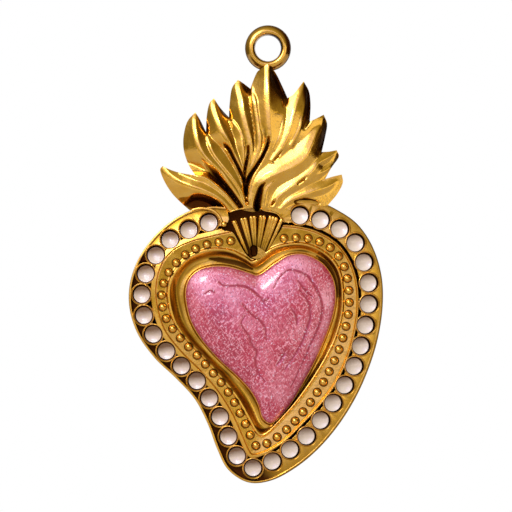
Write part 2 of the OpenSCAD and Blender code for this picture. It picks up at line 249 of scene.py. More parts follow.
# %% [markdown]
# ## Heights and rows
# All heights are above the flat back. The pearls and the beads stand along their lines at even steps, and
# the smallest step between two pearls sets how wide a cup's mouth can be with a thin web of metal left
# beside it.

# %% Heights and rows
RIM_H = 1.95
RIM_W = 0.24
CHANNEL_FOOT_H = 1.9
CHANNEL_HEAD_H = 2.42
MOUTH_H = (CHANNEL_FOOT_H + CHANNEL_HEAD_H) / 2
CHANNEL_LEAN = math.radians(12)
WALL_H = 2.6
BAND_H = 2.35
LIP_H = 2.55
COVE_H = 1.45
FENCE_H = 1.75
PAN_H = 1.0
CUP_DEPTH = 0.8
CUP_DRAFT = math.tan(math.radians(5))
CUP_WEB = 0.1
PEARL_COUNT = 32
BEAD_COUNT = 48


def even_places(path, count):
    """A number of even places along a path, as points and normals."""
    steps = np.linalg.norm(np.diff(path, axis=0), axis=1)
    sums = np.concatenate([[0], np.cumsum(steps)])
    at = sums[-1] * np.arange(count) / (count - 1)
    i = np.clip(np.searchsorted(sums, at, side="right") - 1, 0, len(path) - 2)
    t = ((at - sums[i]) / (sums[i + 1] - sums[i]))[:, None]
    way = path[i + 1] - path[i]
    normals = np.stack([-way[:, 1], way[:, 0]], 1) / np.linalg.norm(way, axis=1)[:, None]
    return path[i] * (1 - t) + path[i + 1] * t, normals


def at_mouth(point, normal):
    """The mouth of a pearl's cup: z out of the cup, x away from the heart's middle."""
    turn = math.atan2(-normal[1], -normal[0])
    place = Matrix.Translation((point[0], point[1], MOUTH_H))
    return place @ Matrix.Rotation(turn, 4, "Z") @ Matrix.Rotation(CHANNEL_LEAN, 4, "Y")


pearl_points, pearl_normals = even_places(spline(heart_at(PEARL_ROW_PX), ROW_STEPS), PEARL_COUNT)
bead_points, _ = even_places(spline(heart_at(BEAD_ROW_PX), ROW_STEPS), BEAD_COUNT)
pearl_pitch = np.linalg.norm(np.diff(pearl_points, axis=0), axis=1).min()
MOUTH_R = (pearl_pitch - CUP_WEB) / 2
CUP_FLOOR_R = MOUTH_R - CUP_DEPTH * CUP_DRAFT
print("a cup's mouth is", round(2 * MOUTH_R, 3), "mm wide, its floor", round(2 * CUP_FLOOR_R, 3), "mm")

# %% [markdown]
# ## Left and right
# The frame's left side is cut deeper between the cups than its right, and its wall is wider there. So some
# widths and heights depend on how far left a point lies, with a soft step between the two sides that leaves
# no kink.

# %% Left and right
MIDDLE_PX = 256
SIDES_FADE_PX = 70
SHOULDER_PX = 256
SHOULDER_FADE = 2.6


def leftness(line):
    """1 on the heart's left side and 0 on its right, with a soft change between them."""
    x = (line[:, 0] / HEART_MM_PER_PX[0] + LOOP_PX[0] - MIDDLE_PX) / SIDES_FADE_PX
    t = np.clip(0.5 - x, 0, 1)
    return t * t * (3 - 2 * t)


def sided(line, right, left):
    """A value along a line that differs between the heart's two sides."""
    return right + (left - right) * leftness(line)


def sunken(line, flush, deep):
    """A height along a line: deep on the left side below its shoulder, and flush elsewhere."""
    down = np.clip((heart_at([0, SHOULDER_PX])[1] - line[:, 1]) / SHOULDER_FADE + 0.5, 0, 1)
    return flush + (deep - flush) * leftness(line) * down * down * (3 - 2 * down)


print("leftness across the rim:", leftness(rim).min(), "to", leftness(rim).max())

# %% [markdown]
# ## The frame of the heart
# On the real charm the frame is one casting: a rim, a sunken channel for the pearls, a wall, a band of
# beads, a lip and a hollow cove down to the enamel. A bevelled curve could draw one moulding, but here the
# strips change width along the heart, so each corner of the profile is a ring of its own and the skin runs
# over all of them. Corners are rounded as a polishing wheel does. From the lip down to the pan the skin
# gets extra rings, because the streaks and painted shade that are put there later need vertices to lie
# on. A row of frame_stack is a corner of the profile, from the back over the rim and inward to the pan: its
# outline, its height and the radius that it is rounded with.

# %% Frame profile
WALL_W_RIGHT, WALL_W_LEFT = 0.13, 0.5
SLOT_W = 0.32
wall_w = sided(wall, WALL_W_RIGHT, WALL_W_LEFT)
wall_back = inset(wall, -wall_w)
slot_mid = inset(wall, -wall_w - SLOT_W * 0.6)
slot_edge = inset(wall, -wall_w - SLOT_W)
rim_in = inset(rim, RIM_W)
rim_foot = inset(rim, RIM_W + 0.06)
frame_stack = [
    (level(inset(rim, 0.6), 0), 0),
    (level(inset(rim, 0.3), 0), 0.2),
    (level(rim, 0.35), 0.2),
    (level(rim, RIM_H), 0.14),
    (level(rim_in, RIM_H), 0.07),
    (level(rim_foot, sunken(rim, sided(rim, RIM_H - 0.02, RIM_H - 0.14), 1.1)), 0.05),
    (level(between(rim_foot, slot_edge, 0.5), sunken(rim, MOUTH_H - 0.05, 1.15)), 0.1),
    (level(slot_edge, sunken(wall, MOUTH_H + 0.06, 1.55)), 0.04),
    (level(slot_mid, sunken(wall, MOUTH_H - 0.5, 1.6)), 0.05),
    (level(wall_back, sided(wall, WALL_H - 0.04, WALL_H - 0.16)), 0.07),
    (level(inset(wall, -0.02), WALL_H), 0.06),
    (level(inset(wall, 0.03), BAND_H - 0.04), 0.03),
    (level(inset(wall, 0.12), BAND_H + 0.03), 0.06),
    (level(inset(lip, -0.24), BAND_H - 0.05), 0.1),
    (level(inset(lip, -0.07), LIP_H), 0.07),
    (level(between(lip, enamel, 0.1), LIP_H - 0.05), 0.07),
    (level(between(lip, enamel, 0.36), COVE_H + 0.16), 0.3),
    (level(between(lip, enamel, 0.62), COVE_H), 0.3),
    (level(between(lip, enamel, 0.88), COVE_H + 0.06), 0.06),
    (level(inset(enamel, -0.02), FENCE_H), 0.05),
    (level(inset(enamel, 0.08), FENCE_H), 0.03),
    (level(inset(enamel, 0.1), PAN_H), 0),
]
print("corners in the profile:", len(frame_stack))

# %% Frame skin
CORNER_STEPS = 4
COVE_RING_GAP = 0.09


def rounded(stack, steps):
    """Rounds the corners of a profile. stack holds rings of points, each with its corner's radius."""
    rings = [np.asarray(r, float) for r, _ in stack]
    out = []
    for i, (ring, (_, radius)) in enumerate(zip(rings, stack)):
        if not radius or i in (0, len(rings) - 1):
            out.append(ring)
            continue
        ends = []
        for other in (rings[i - 1], rings[i + 1]):
            way = other - ring
            far = np.linalg.norm(way, axis=1)[:, None]
            ends.append(ring + way * np.minimum(radius / far, 0.45))
        for t in np.arange(steps + 1) / steps:
            out.append((1 - t) ** 2 * ends[0] + 2 * t * (1 - t) * ring + t * t * ends[1])
    return out


def filled(rings, gap):
    """Puts rings between two that lie further apart than a gap, which leaves the shape as it is."""
    out = [rings[0]]
    for low, high in zip(rings, rings[1:]):
        parts = max(1, math.ceil(np.linalg.norm(high - low, axis=1).mean() / gap))
        out += [between(low, high, k / parts) for k in range(1, parts + 1)]
    return out


skin_rings = rounded(frame_stack, CORNER_STEPS)
cove_from = next(i for i, ring in enumerate(skin_rings) if ring[0, 2] > LIP_H - 0.01)
skin_rings = skin_rings[:cove_from] + filled(skin_rings[cove_from:], COVE_RING_GAP)
casting = new_object("frame_casting", ring_mesh("frame_casting", skin_rings))
print("frame skin has", len(casting.data.polygons), "faces")

# %% [markdown]
# ## Cups for the pearls
# Each drop of pearl enamel sits in a cup with a thin collar, and the metal between the collars is cut away.
# The collars are turned rings, joined to the channel, and the cups are then cut. Neighbouring collars run
# into each other, so every second one is joined at a time: a boolean wants tools that don't cross
# themselves.

# %% Collars and cups
COLLAR_W = 0.13
COLLAR_RISE = 0.04
COLLAR_ROOT = 1.15
CUTTER_RISE = 1.2
CUP_SEGMENTS = 56


def merged(name, meshes):
    """One mesh that holds several."""
    bm = bmesh.new()
    for mesh in meshes:
        bm.from_mesh(mesh)
        bpy.data.meshes.remove(mesh)
    out = bpy.data.meshes.new(name)
    bm.to_mesh(out)
    bm.free()
    return out


def turned(name, profile, segments, matrix):
    """A solid of revolution from (radius, height) pairs, from the bottom up, put in place by a matrix."""
    a = np.arange(segments) * math.tau / segments
    circle = np.stack([np.cos(a), np.sin(a)], 1)
    rings = [np.column_stack([circle * r, np.full(segments, z)]) for r, z in profile]
    mesh = ring_mesh(name, rings)
    mesh.transform(matrix)
    return mesh


collar = [
    (MOUTH_R + COLLAR_W, -COLLAR_ROOT),
    (MOUTH_R + COLLAR_W, COLLAR_RISE - 0.07),
    (MOUTH_R + COLLAR_W - 0.02, COLLAR_RISE - 0.02),
    (MOUTH_R + COLLAR_W - 0.05, COLLAR_RISE),
    (MOUTH_R - 0.2, COLLAR_RISE),
]
cup = [
    (CUP_FLOOR_R, -CUP_DEPTH),
    (MOUTH_R - 0.04, -0.25),
    (MOUTH_R - 0.015, COLLAR_RISE - 0.09),
    (MOUTH_R + 0.03, COLLAR_RISE - 0.035),
    (MOUTH_R + 0.07, COLLAR_RISE + 0.001),
    (MOUTH_R + 0.07, CUTTER_RISE),
]
for profile, operation in ((collar, "UNION"), (cup, "DIFFERENCE")):
    for start in (0, 1):
        tools = [
            turned("cup", profile, CUP_SEGMENTS, at_mouth(p, n))
            for p, n in zip(pearl_points[start::2], pearl_normals[start::2])
        ]
        joined(casting, merged("cups", tools), operation)
print("casting with cups has", len(casting.data.polygons), "faces")

# %% [markdown]
# ## Beads in their hollows
# The band carries a row of cast beads, each in a shallow hollow that a punch leaves. The hollows are cut
# out of the casting, and each bead is turned and sunk a little. Painted shade darkens a bead round its foot.
# The painted shade of the gilt pieces, with streaks of dirt in the cove, is kept on the vertices as a value
# from 0 for clean metal to 1, and the gold's material reads it.

# %% Beads
BEAD_R = 0.415
BEAD_SUNK = 0.1
HOLLOW_R = 0.53
ABOVE_ALL = 4
BEAD_SHADE, BEAD_SHADE_RISE, BEAD_SHADE_FADE = 0.75, 0.08, 0.15


def ball_profile(radius, height, steps):
    """A ball's outline from the bottom up, which stops just short of its poles."""
    return [(radius * math.cos(a), height * math.sin(a)) for a in np.linspace(-1.45, 1.45, steps)]


def corners(obj):
    """A bench piece's vertices in millimetres."""
    co = np.empty(len(obj.data.vertices) * 3)
    obj.data.vertices.foreach_get("co", co)
    return co.reshape(-1, 3)


def painted(obj, name, values):
    """Keeps a value at each vertex, which a material can read by its name."""
    obj.data.attributes.new(name, "FLOAT", "POINT").data.foreach_set("value", np.clip(values, 0, 1))


hollow = [
    (BEAD_R - 0.06, BAND_H - 0.13),
    (HOLLOW_R - 0.06, BAND_H - 0.1),
    (HOLLOW_R, BAND_H + 0.02),
    (HOLLOW_R, ABOVE_ALL),
]
hollows = [turned("hollow", hollow, 28, Matrix.Translation((*p, 0))) for p in bead_points]
joined(casting, merged("hollows", hollows), "DIFFERENCE")
ball = ball_profile(BEAD_R, BEAD_R, 15)
bead_meshes = [turned("bead", ball, 24, Matrix.Translation((*p, BAND_H - BEAD_SUNK))) for p in bead_points]
beads = new_object("bead_row", merged("bead_row", bead_meshes))
# painted shade darkens each bead towards its foot, where it meets the band
painted(beads, "soot_and_shade", BEAD_SHADE * (BAND_H + BEAD_SHADE_RISE - corners(beads)[:, 2]) / BEAD_SHADE_FADE)
print("beads:", len(bead_meshes))

# %% [markdown]
# ## The recess round the fan
# Between the flames and the fan the casting falls away into a dark hollow, which also runs down the fan's
# left side. It is cut with a plain prism.

# %% Recess
RECESS_PX = [
    (229, 205), (256, 203), (281, 206), (283, 214), (284.5, 223), (277, 236), (269, 249), (262, 257),
    (256.5, 260), (250, 258), (245, 253), (239, 243), (235, 235.5), (231, 231.5), (224, 231),
    (221.5, 227.5), (226, 224), (229, 219),
]
RECESS_H = 0.8


def prism(name, outline, low, high):
    """A flat outline pulled up from one height to another."""
    return ring_mesh(name, [level(outline, low), level(outline, high)])


recess = spline(heart_at(RECESS_PX), 2, closed=True)[::-1]
joined(casting, prism("recess", recess, RECESS_H, ABOVE_ALL), "DIFFERENCE")
print("casting has", len(casting.data.polygons), "faces")

# %% [markdown]
# ## The scroll at the left of the fan
# The rim's end curls in towards the fan and ends in a small ball, the nub. It is a bar swept along a line,
# so a general sweep is made for it: round sections that stand across the line.

# %% Scroll
SCROLL_PX = [(192, 210.2), (201, 208.4), (211.8, 210), (218.7, 215.3), (222, 222.3)]
SCROLL_H = (1.95, 2.3)
SCROLL_R = 0.15
NUB_PX = (224.2, 224.4)
NUB_R = 0.34
NUB_H = 2.25
NUB_ROOT = 1.2


def swept(name, path, radii, segments=14):
    """A round bar along a path of (x, y, h) points, as thick as its radii."""
    path = np.asarray(path, float)
    side = left_normals(path, closed=False)
    radii = np.broadcast_to(radii, len(path))
    a = np.arange(segments) * math.tau / segments
    rings = []
    for p, s, r in zip(path, side, radii):
        ring = np.repeat(p[None], segments, 0)
        ring[:, :2] += np.cos(a)[:, None] * s * r
        ring[:, 2] += np.sin(a) * r
        rings.append(ring)
    return ring_mesh(name, rings)


scroll_line = spline(heart_at(SCROLL_PX), 6)
scroll = swept("scroll", level(scroll_line, np.linspace(*SCROLL_H, len(scroll_line))), SCROLL_R)
joined(casting, scroll, "UNION")
nub_profile = ball_profile(NUB_R, 0.9 * NUB_R, 11)
nub_profile[0] = (NUB_R * 0.7, -NUB_ROOT)
joined(casting, turned("nub", nub_profile, 24, Matrix.Translation((*heart_at(NUB_PX), NUB_H))), "UNION")
print("scroll is", round(float(np.linalg.norm(np.diff(scroll_line, axis=0), axis=1).sum()), 2), "mm long")

# %% [markdown]
# ## The crown of flames
# Each flame is a ridge with a flank falling away on either side, and where two flanks meet there is a
# valley. That is easiest as a relief: a fine grid of points, each as high as the highest flank above it,
# with narrow crevices and broad hollows pressed in. Separate lobes joined by booleans would leave flat gaps
# between them. A row of a ridge, from its tip to its base, is a place in pixels, a height, and how steeply
# the metal falls to the left and to the right. CRESTS gives each ridge the half width of its flat crest,
# which leans to the left.

# %% Flame ridges
RIDGES = [
    [
        (162.5, 167, 1.5, 0.6, 0.5), (170, 175.5, 1.8, 0.6, 0.5), (180, 182.5, 2.1, 0.6, 0.45),
        (192, 187.5, 2.35, 0.6, 0.4), (205, 192.5, 2.45, 0.6, 0.35), (219, 200.5, 2.5, 0.6, 0.4),
        (232, 211, 2.45, 0.6, 0.5),
    ],
    [
        (181, 173.5, 1.75, 0.3, 1.3), (196, 176.5, 2.2, 0.3, 1.2), (205, 178.5, 2.3, 0.35, 1.2),
        (215, 184, 2.4, 0.4, 1.2), (225, 193, 2.45, 0.5, 1.2), (237, 208, 2.45, 0.6, 1.2),
    ],
    [
        (195.5, 112.5, 1.5, 0.9, 1.2), (194.8, 122, 1.95, 0.75, 0.95), (196, 135, 2.25, 0.7, 0.75),
        (199.3, 147.5, 2.4, 0.7, 0.6), (205.5, 158, 2.45, 0.9, 0.5), (215, 168, 2.5, 1.2, 0.5),
        (225, 179.5, 2.55, 1.3, 0.5), (235, 193, 2.55, 1.3, 0.6), (243, 208, 2.5, 1.2, 0.7),
    ],
    [
        (207, 135, 1.75, 0.7, 0.8), (209.5, 144, 2.15, 0.6, 0.6), (213.8, 154.4, 2.3, 0.6, 0.5),
        (221.4, 164.6, 2.4, 0.6, 0.5), (231.6, 177.3, 2.5, 0.6, 0.5), (240, 190, 2.52, 0.7, 0.6),
        (245.5, 206, 2.5, 0.8, 0.8),
    ],
    [
        (214, 98, 1.5, 0.9, 1.2), (213.7, 107, 1.9, 0.75, 1.05), (217, 119, 2.25, 0.7, 0.9),
        (221.5, 131, 2.45, 0.65, 0.75), (226.5, 140, 2.5, 0.8, 0.8), (231, 151, 2.45, 1.3, 0.6),
        (237, 163, 2.5, 1.3, 0.6), (242, 175, 2.52, 1.2, 0.8), (246, 192, 2.4, 1.0, 1.0),
    ],
    [
        (230.5, 119, 1.85, 0.7, 0.9), (236.7, 126.5, 2.25, 0.55, 0.9), (241.3, 136.5, 2.4, 0.5, 0.9),
        (242.8, 147, 2.5, 0.5, 0.9), (243.3, 160, 2.5, 0.6, 0.9), (243.8, 172, 2.45, 0.7, 0.9),
    ],
    [
        (238, 79.5, 1.5, 0.9, 1.3), (238.3, 89, 1.95, 0.75, 1.1), (240.8, 100, 2.3, 0.7, 0.7),
        (242.3, 112, 2.5, 0.7, 0.6), (245, 124, 2.6, 0.7, 0.6), (248, 136, 2.65, 0.7, 0.7),
        (249.5, 147, 2.65, 1.0, 0.7), (249, 158, 2.6, 1.1, 0.7), (246.5, 170, 2.5, 1.1, 0.8),
        (245.5, 184, 2.35, 1.0, 1.0),
    ],
    [
        (252.3, 91, 1.9, 0.9, 0.5), (254, 100, 2.35, 0.9, 0.5), (255.7, 111, 2.5, 0.85, 0.5),
        (257.6, 123, 2.6, 0.8, 0.5), (259, 136, 2.68, 0.8, 0.6), (258.6, 148, 2.68, 0.7, 0.9),
        (255, 159, 2.62, 0.7, 1.2), (250.5, 169, 2.55, 0.7, 1.3), (247.5, 181, 2.45, 0.8, 1.2),
    ],
    [
        (267, 65, 2.2, 0.9, 1.3), (267.2, 74, 2.45, 0.85, 1.25), (267, 85, 2.65, 0.7, 1.0),
        (267, 97, 2.8, 0.6, 0.7), (267.5, 110, 2.9, 0.55, 0.38), (268.2, 125, 2.92, 0.55, 0.33),
        (269, 138, 2.88, 1.1, 0.33), (265.5, 150, 2.8, 1.4, 0.4), (259.5, 161.5, 2.72, 1.4, 0.4),
        (253.5, 172, 2.65, 1.3, 0.5), (249.5, 184, 2.6, 1.2, 0.6), (248, 198, 2.55, 1.2, 0.7),
    ],
    [
        (287, 102, 1.6, 0.9, 0.5), (285, 110, 2.2, 0.8, 0.4), (282.5, 122, 2.55, 0.6, 0.4),
        (279.5, 136, 2.7, 0.5, 0.5), (273.5, 149, 2.7, 0.5, 0.7),
    ],
    [
        (303.3, 81.5, 1.55, 0.55, 1.0), (299, 93, 2.05, 0.45, 0.35), (294.5, 106, 2.45, 0.45, 0.25),
        (291, 120, 2.65, 0.5, 0.25), (287.5, 133, 2.75, 0.5, 0.3), (281, 147, 2.75, 0.5, 0.6),
        (272.5, 161, 2.7, 0.5, 1.0),
    ],
    [
        (305.5, 88, 1.65, 0.5, 1.3), (305, 100, 2.1, 0.4, 1.5), (302.5, 115, 2.45, 0.3, 1.4),
        (298, 130, 2.6, 0.3, 0.9), (290, 145, 2.68, 0.4, 0.9),
    ],
    [
        (323, 115, 1.5, 0.4, 1.2), (314.8, 129, 2.15, 0.4, 0.7), (308.5, 144, 2.6, 0.4, 0.55),
        (302, 156.5, 2.82, 0.4, 0.5), (291.5, 164.5, 2.92, 0.42, 0.5), (278, 171, 2.95, 0.45, 0.55),
        (267, 176, 2.9, 0.5, 0.6), (260, 182.5, 2.85, 0.6, 0.8), (255, 192, 2.7, 0.8, 1.0),
        (252, 207, 2.6, 0.9, 1.2),
    ],
    [
        (325, 121, 1.55, 0.5, 1.5), (317.5, 135.5, 2.15, 0.5, 1.5), (310.5, 147.5, 2.5, 0.45, 0.8),
        (300.5, 160.5, 2.7, 0.4, 0.6), (287, 171, 2.75, 0.4, 0.6), (273.5, 180, 2.72, 0.5, 0.6),
        (266, 190, 2.65, 0.9, 0.5), (263, 206, 2.55, 1.1, 0.5),
    ],
    [
        (336.3, 150.3, 1.5, 0.9, 0.9), (326, 156.5, 1.95, 0.6, 0.6), (316.5, 162, 2.3, 0.5, 0.5),
        (310.5, 170.5, 2.5, 0.5, 0.5), (301, 179, 2.6, 0.5, 0.55), (289.5, 187, 2.62, 0.5, 0.6),
        (280, 194.5, 2.6, 0.6, 0.6), (272.5, 205, 2.5, 0.7, 0.6),
    ],
    [
        (333.5, 161, 1.6, 0.4, 0.9), (325.5, 169.5, 2.0, 0.4, 0.8), (312, 176, 2.3, 0.4, 0.7),
        (300, 184, 2.45, 0.4, 0.7), (288, 193, 2.45, 0.45, 0.7), (279, 203, 2.45, 0.5, 0.7),
    ],
    [
        (341.3, 175, 1.5, 0.9, 0.5), (333.5, 181, 1.9, 0.6, 0.45), (324.5, 186.3, 2.2, 0.6, 0.5),
        (313, 190.2, 2.4, 0.6, 0.6), (300.5, 195.2, 2.5, 0.6, 0.8), (289, 200.5, 2.5, 0.7, 0.7),
        (281, 207, 2.45, 0.7, 0.5),
    ],
    [
        (266, 209.5, 2.3, 0.2, 0.25), (275, 210.5, 2.36, 0.1, 0.15), (288, 213, 2.36, 0.1, 0.1),
        (288, 222, 2.3, 0.1, 0.1),
    ],
    [(226, 208, 2.3, 0.5, 0.5), (226, 223, 2.22, 0.5, 0.5)],
]
CRESTS = [
    0.2, 0.12, 0.2, 0.1, 0.25, 0.1, 0.27, 0.16, 0.26, 0.1, 0.2, 0.12, 0.36, 0.2, 0.22, 0.12, 0.2,
    0.3, 0.1,
]
CREST_LEAN = 0.16
EDGE_R = 0.06
print("ridges:", len(RIDGES))

# %% [markdown]
# ## Crevices and hollows
# A row of a crevice or a hollow is a place in pixels, a depth in millimetres and a half width in pixels. A
# crevice has the round section that a graver leaves, and a hollow a flatter floor with steeper sides.

# %% Crevices and hollows
CREVICES = [
    [
        (200.4, 157.6, 0.0, 1.3), (206, 164.5, 0.35, 1.6), (211.2, 169.7, 0.6, 3.2),
        (216, 176, 0.8, 4.2), (223, 184.5, 0.8, 3.2), (231.6, 194.5, 0.8, 2.2), (241, 207, 0.7, 1.6),
    ],
    [
        (223.5, 142.5, 0.0, 1.2), (226, 146, 0.6, 1.7), (229.3, 150, 0.7, 1.6), (234.2, 159.5, 0.6, 1.2),
        (239.3, 169.7, 0.6, 1.2), (243.8, 180, 0.6, 1.3), (246, 194, 0.5, 1.5),
    ],
    [(248.3, 146, 0.3, 0.9), (247.6, 157, 0.5, 1.0), (245, 170, 0.5, 1.0), (244.4, 180, 0.4, 1.0)],
    [
        (268.6, 136.5, 0.2, 0.8), (267.3, 145.5, 0.6, 1.1), (262.2, 157, 0.7, 1.3), (256, 167, 0.7, 1.5),
        (250.8, 174.8, 0.8, 1.5), (247.6, 182.4, 0.8, 1.7), (246.3, 194, 0.5, 1.2), (247, 204, 0.2, 1.0),
    ],
    [(284, 149.3, 0.0, 0.8), (277.5, 157, 0.3, 1.0), (273.7, 162, 0.2, 1.0)],
    [
        (265.4, 183, 0.2, 0.9), (261, 187.5, 0.7, 1.5), (258.4, 195.2, 0.9, 1.8), (256.5, 204, 1.1, 2.0),
        (256.8, 212, 1.3, 2.4),
    ],
    [(308.5, 175.5, 0.0, 0.8), (303, 180, 0.3, 1.0), (298, 184, 0.2, 1.0)],
    [(275, 199, 0.0, 0.8), (273, 203, 0.35, 1.0), (271, 206, 0.1, 0.9)],
    [(244, 84, 0.2, 1.5), (247.5, 89, 0.7, 2.2), (249.3, 93, 0.3, 1.4)],
    [(201, 118, 0.3, 1.2), (204.5, 126, 0.9, 2.0), (207, 134, 0.3, 1.2)],
    [(219.5, 103, 0.3, 1.2), (225.5, 112, 0.9, 2.2), (230.5, 119.5, 0.3, 1.3)],
    [
        (273, 71, 0.4, 2.4), (276.5, 79, 0.9, 4.0), (281, 90, 0.9, 4.0), (285, 100, 0.6, 2.2),
        (284.5, 106, 0.2, 1.4),
    ],
    [
        (306, 85, 0.4, 1.5), (309, 95, 0.9, 3.0), (309.5, 107, 0.9, 3.4), (307, 119, 0.7, 3.0),
        (304, 128, 0.2, 1.5),
    ],
    [(325.5, 119, 0.4, 1.5), (326.5, 131, 0.9, 3.0), (323.5, 144, 0.9, 3.4), (319, 153, 0.5, 2.2)],
    [(338.5, 154, 0.3, 1.3), (337, 160, 0.6, 1.6), (333, 166, 0.3, 1.2)],
]
HOLLOWS = [
    [
        (183, 203.5, 0.3, 5.0), (190, 206, 1.0, 8.5), (199, 206.5, 1.5, 10.0), (209, 209, 1.5, 10.0),
        (219, 213.5, 1.4, 8.5), (226, 217, 0.9, 5.0),
    ],
    [(296, 202, 0.3, 1.6), (305, 201.3, 0.7, 2.3), (314, 202.4, 0.6, 2.0), (318, 203.4, 0.2, 1.4)],
]
CREVICE_POWER, HOLLOW_POWER = 2, 4
print(len(CREVICES), "crevices,", len(HOLLOWS), "hollows")

# %% [markdown]
# ## The relief
# For each ridge, every point of the grid finds its nearest place on the ridge, and its height there less
# the fall of the flank. The highest ridge wins, with a slight blend where two meet, as soft as in a wax
# model.

# %% Flame relief
FLAME_BACK = 0.15
FLAME_LEAST_H = 0.55
GRID_X_PX = (156, 346)
GRID_Y_PX = (61, 227)
GRID_PX = 0.75
RIDGE_TURN_PX = 1.5
BLEND = 0.022
BATCHES = 12
xs = np.arange(*GRID_X_PX, GRID_PX)
ys = np.arange(*GRID_Y_PX, GRID_PX)
grid = np.stack(np.meshgrid(xs, ys), 2).reshape(-1, 2)
PX_MM = CROWN_MM_PER_PX.mean()


def beside(points, rows, steps=12):
    """How far points lie from a line of rows, on which side, and the rows' values beside them."""
    path = spline(rows, steps)
    way = np.gradient(path, axis=0)
    way[:, :2] /= np.linalg.norm(way[:, :2], axis=1)[:, None]
    long = np.linalg.norm(np.gradient(path[:, :2], axis=0), axis=1)
    gap = np.empty(len(points))
    side = np.empty(len(points))
    values = np.empty((len(points), path.shape[1] - 2))
    for part in np.array_split(np.arange(len(points)), BATCHES):
        off = points[part, None] - path[None, :, :2]
        near = (off**2).sum(2).argmin(1)
        to = off[np.arange(len(part)), near]
        w = way[near, :2]
        along = (to * w).sum(1)
        half = 0.75 * long[near]
        along = np.clip(along, np.where(near == 0, 0, -half), np.where(near == len(path) - 1, 0, half))
        gap[part] = np.sqrt(np.maximum((to**2).sum(1) - along**2, 0))
        side[part] = w[:, 0] * to[:, 1] - w[:, 1] * to[:, 0]
        values[part] = path[near, 2:] + (along / long[near])[:, None] * way[near, 2:]
    return gap * PX_MM, side, values


def eased(x):
    """A ramp that is 0 below nothing and rises as x, with a rounded bend."""
    return (x + np.sqrt(x * x + EDGE_R**2)) / 2


def bell(x, width, power=2):
    """1 in the middle and fading to 0 about a width away, more squarely with a higher power."""
    return np.exp(-((x / width) ** power))


heights = []
for rows, crest in zip(RIDGES, CRESTS):
    gap, side, values = beside(grid, rows)
    turn = 0.5 + 0.5 * np.clip(side / RIDGE_TURN_PX, -1, 1)
    slope = between(values[:, 2], values[:, 1], turn)
    past = eased(gap - crest) - eased(np.array(-crest))
    across = np.clip(np.where(side > 0, gap, -gap), -crest, crest)
    heights.append(values[:, 0] - slope * past - CREST_LEAN * (across + crest))
heights = np.array(heights)
top = heights.max(0)
relief = top + BLEND * np.log(np.exp((heights - top) / BLEND).sum(0))
for rows, power in [(r, CREVICE_POWER) for r in CREVICES] + [(r, HOLLOW_POWER) for r in HOLLOWS]:
    gap, side, values = beside(grid, rows)
    relief -= np.maximum(values[:, 0], 0) * bell(gap, values[:, 1] * PX_MM, power)
relief = np.maximum(relief, FLAME_LEAST_H)
print("relief from", relief.min().round(2), "to", relief.max().round(2), "mm, on", len(grid), "points")

# %% [markdown]
# ## The crown's outline
# The relief becomes a closed block with a flat back, and a prism over the crown's outline cuts it to shape.
# Each part of the outline runs smoothly from the end of the part before, and two parts meet in a corner: a
# flame's tip or the notch between two flames. A plate joins the crown to the frame under the fan, and two
# thin bars line the foot of the flames.

# %% Crown outline
CROWN_OUTLINE_PX = [
    [(181, 202.5), (172, 193), (164.5, 181), (160.5, 170), (163, 166)],
    [(170, 169.5), (181, 173), (195.5, 175.5)],
    [(188.5, 164), (184, 150), (183.8, 136), (187.5, 121.5), (195.5, 112)],
    [(200.5, 120), (206, 131.5)],
    [(207, 115), (209.5, 103.5), (214, 98)],
    [(220, 107), (229, 117)],
    [(229.8, 103), (232, 88), (238, 79.5)],
    [(245, 84), (250.5, 88.5)],
    [(253, 81), (257, 72), (260.5, 69), (267, 64)],
    [(275, 71.5), (282, 85), (287.5, 98)],
    [(294, 93.5), (303.5, 81)],
    [(309, 91), (310.5, 105), (309.5, 121.5)],
    [(316, 118.5), (323.5, 114.5)],
    [(327, 124), (325, 137), (321.5, 152)],
    [(329, 151.5), (336.5, 150)],
    [(338.5, 157), (331, 168), (325, 179)],
    [(333, 176.5), (341.5, 174.5)],
    [(342.5, 183), (337, 194), (327.5, 205.5)],
    [(318, 206.5), (310, 204.3), (300, 203.8), (292.5, 206), (290, 212), (291, 219), (289, 223)],
    [(284.5, 222), (281.5, 218), (278, 214), (272, 211.8), (265, 210.5), (260, 208)],
    [(258.5, 211), (255.5, 211), (253.5, 207.3)],
    [(247, 208), (241, 208.7), (231, 211.8)],
    [(229.3, 216), (228.8, 222), (225, 224)],
    [(222, 222), (219, 215.5), (212, 210), (201, 208.6), (190, 210.5)],
]
ends = [part[-1] for part in CROWN_OUTLINE_PX]
crown_outline = np.vstack(
    [spline(crown_at([start, *part]), 6)[:-1] for start, part in zip([ends[-1], *ends], CROWN_OUTLINE_PX)]
)[::-1]
print("crown outline has", len(crown_outline), "points")

# %% Flames
CUT_FROM_H, CUT_TO_H = -1, 5
THROAT_PLATE_PX = [(235, 204), (277, 204), (277, 224), (235, 224)]
THROAT_PLATE_H = 0.7
BASE_LINES_PX = [
    [(230.5, 212), (236, 210), (241.5, 209), (247, 208.3), (253, 207.7)],
    [(260.3, 208.6), (265, 210.8), (271.5, 212), (277.5, 214.2), (281.2, 218.5), (284.5, 222.3)],
]
BASE_LINE_H = 2.36
BASE_LINE_R = 0.09
rows_n, cols_n = len(ys), len(xs)
top_points = np.column_stack([crown_at(grid), relief])
k = np.arange((rows_n - 1) * (cols_n - 1))
a = k // (cols_n - 1) * cols_n + k % (cols_n - 1)
quads = np.stack([a, a + cols_n, a + cols_n + 1, a + 1], 1)
edge_walk = [
    *range(cols_n),
    *range(2 * cols_n - 1, rows_n * cols_n, cols_n),
    *range(rows_n * cols_n - 2, (rows_n - 1) * cols_n - 1, -1),
    *range((rows_n - 2) * cols_n, 0, -cols_n),
]
foot = top_points[edge_walk] * (1, 1, 0) + (0, 0, FLAME_BACK)
n = len(edge_walk)
first = len(top_points)
sides = [(edge_walk[i], edge_walk[(i + 1) % n], first + (i + 1) % n, first + i) for i in range(n)]
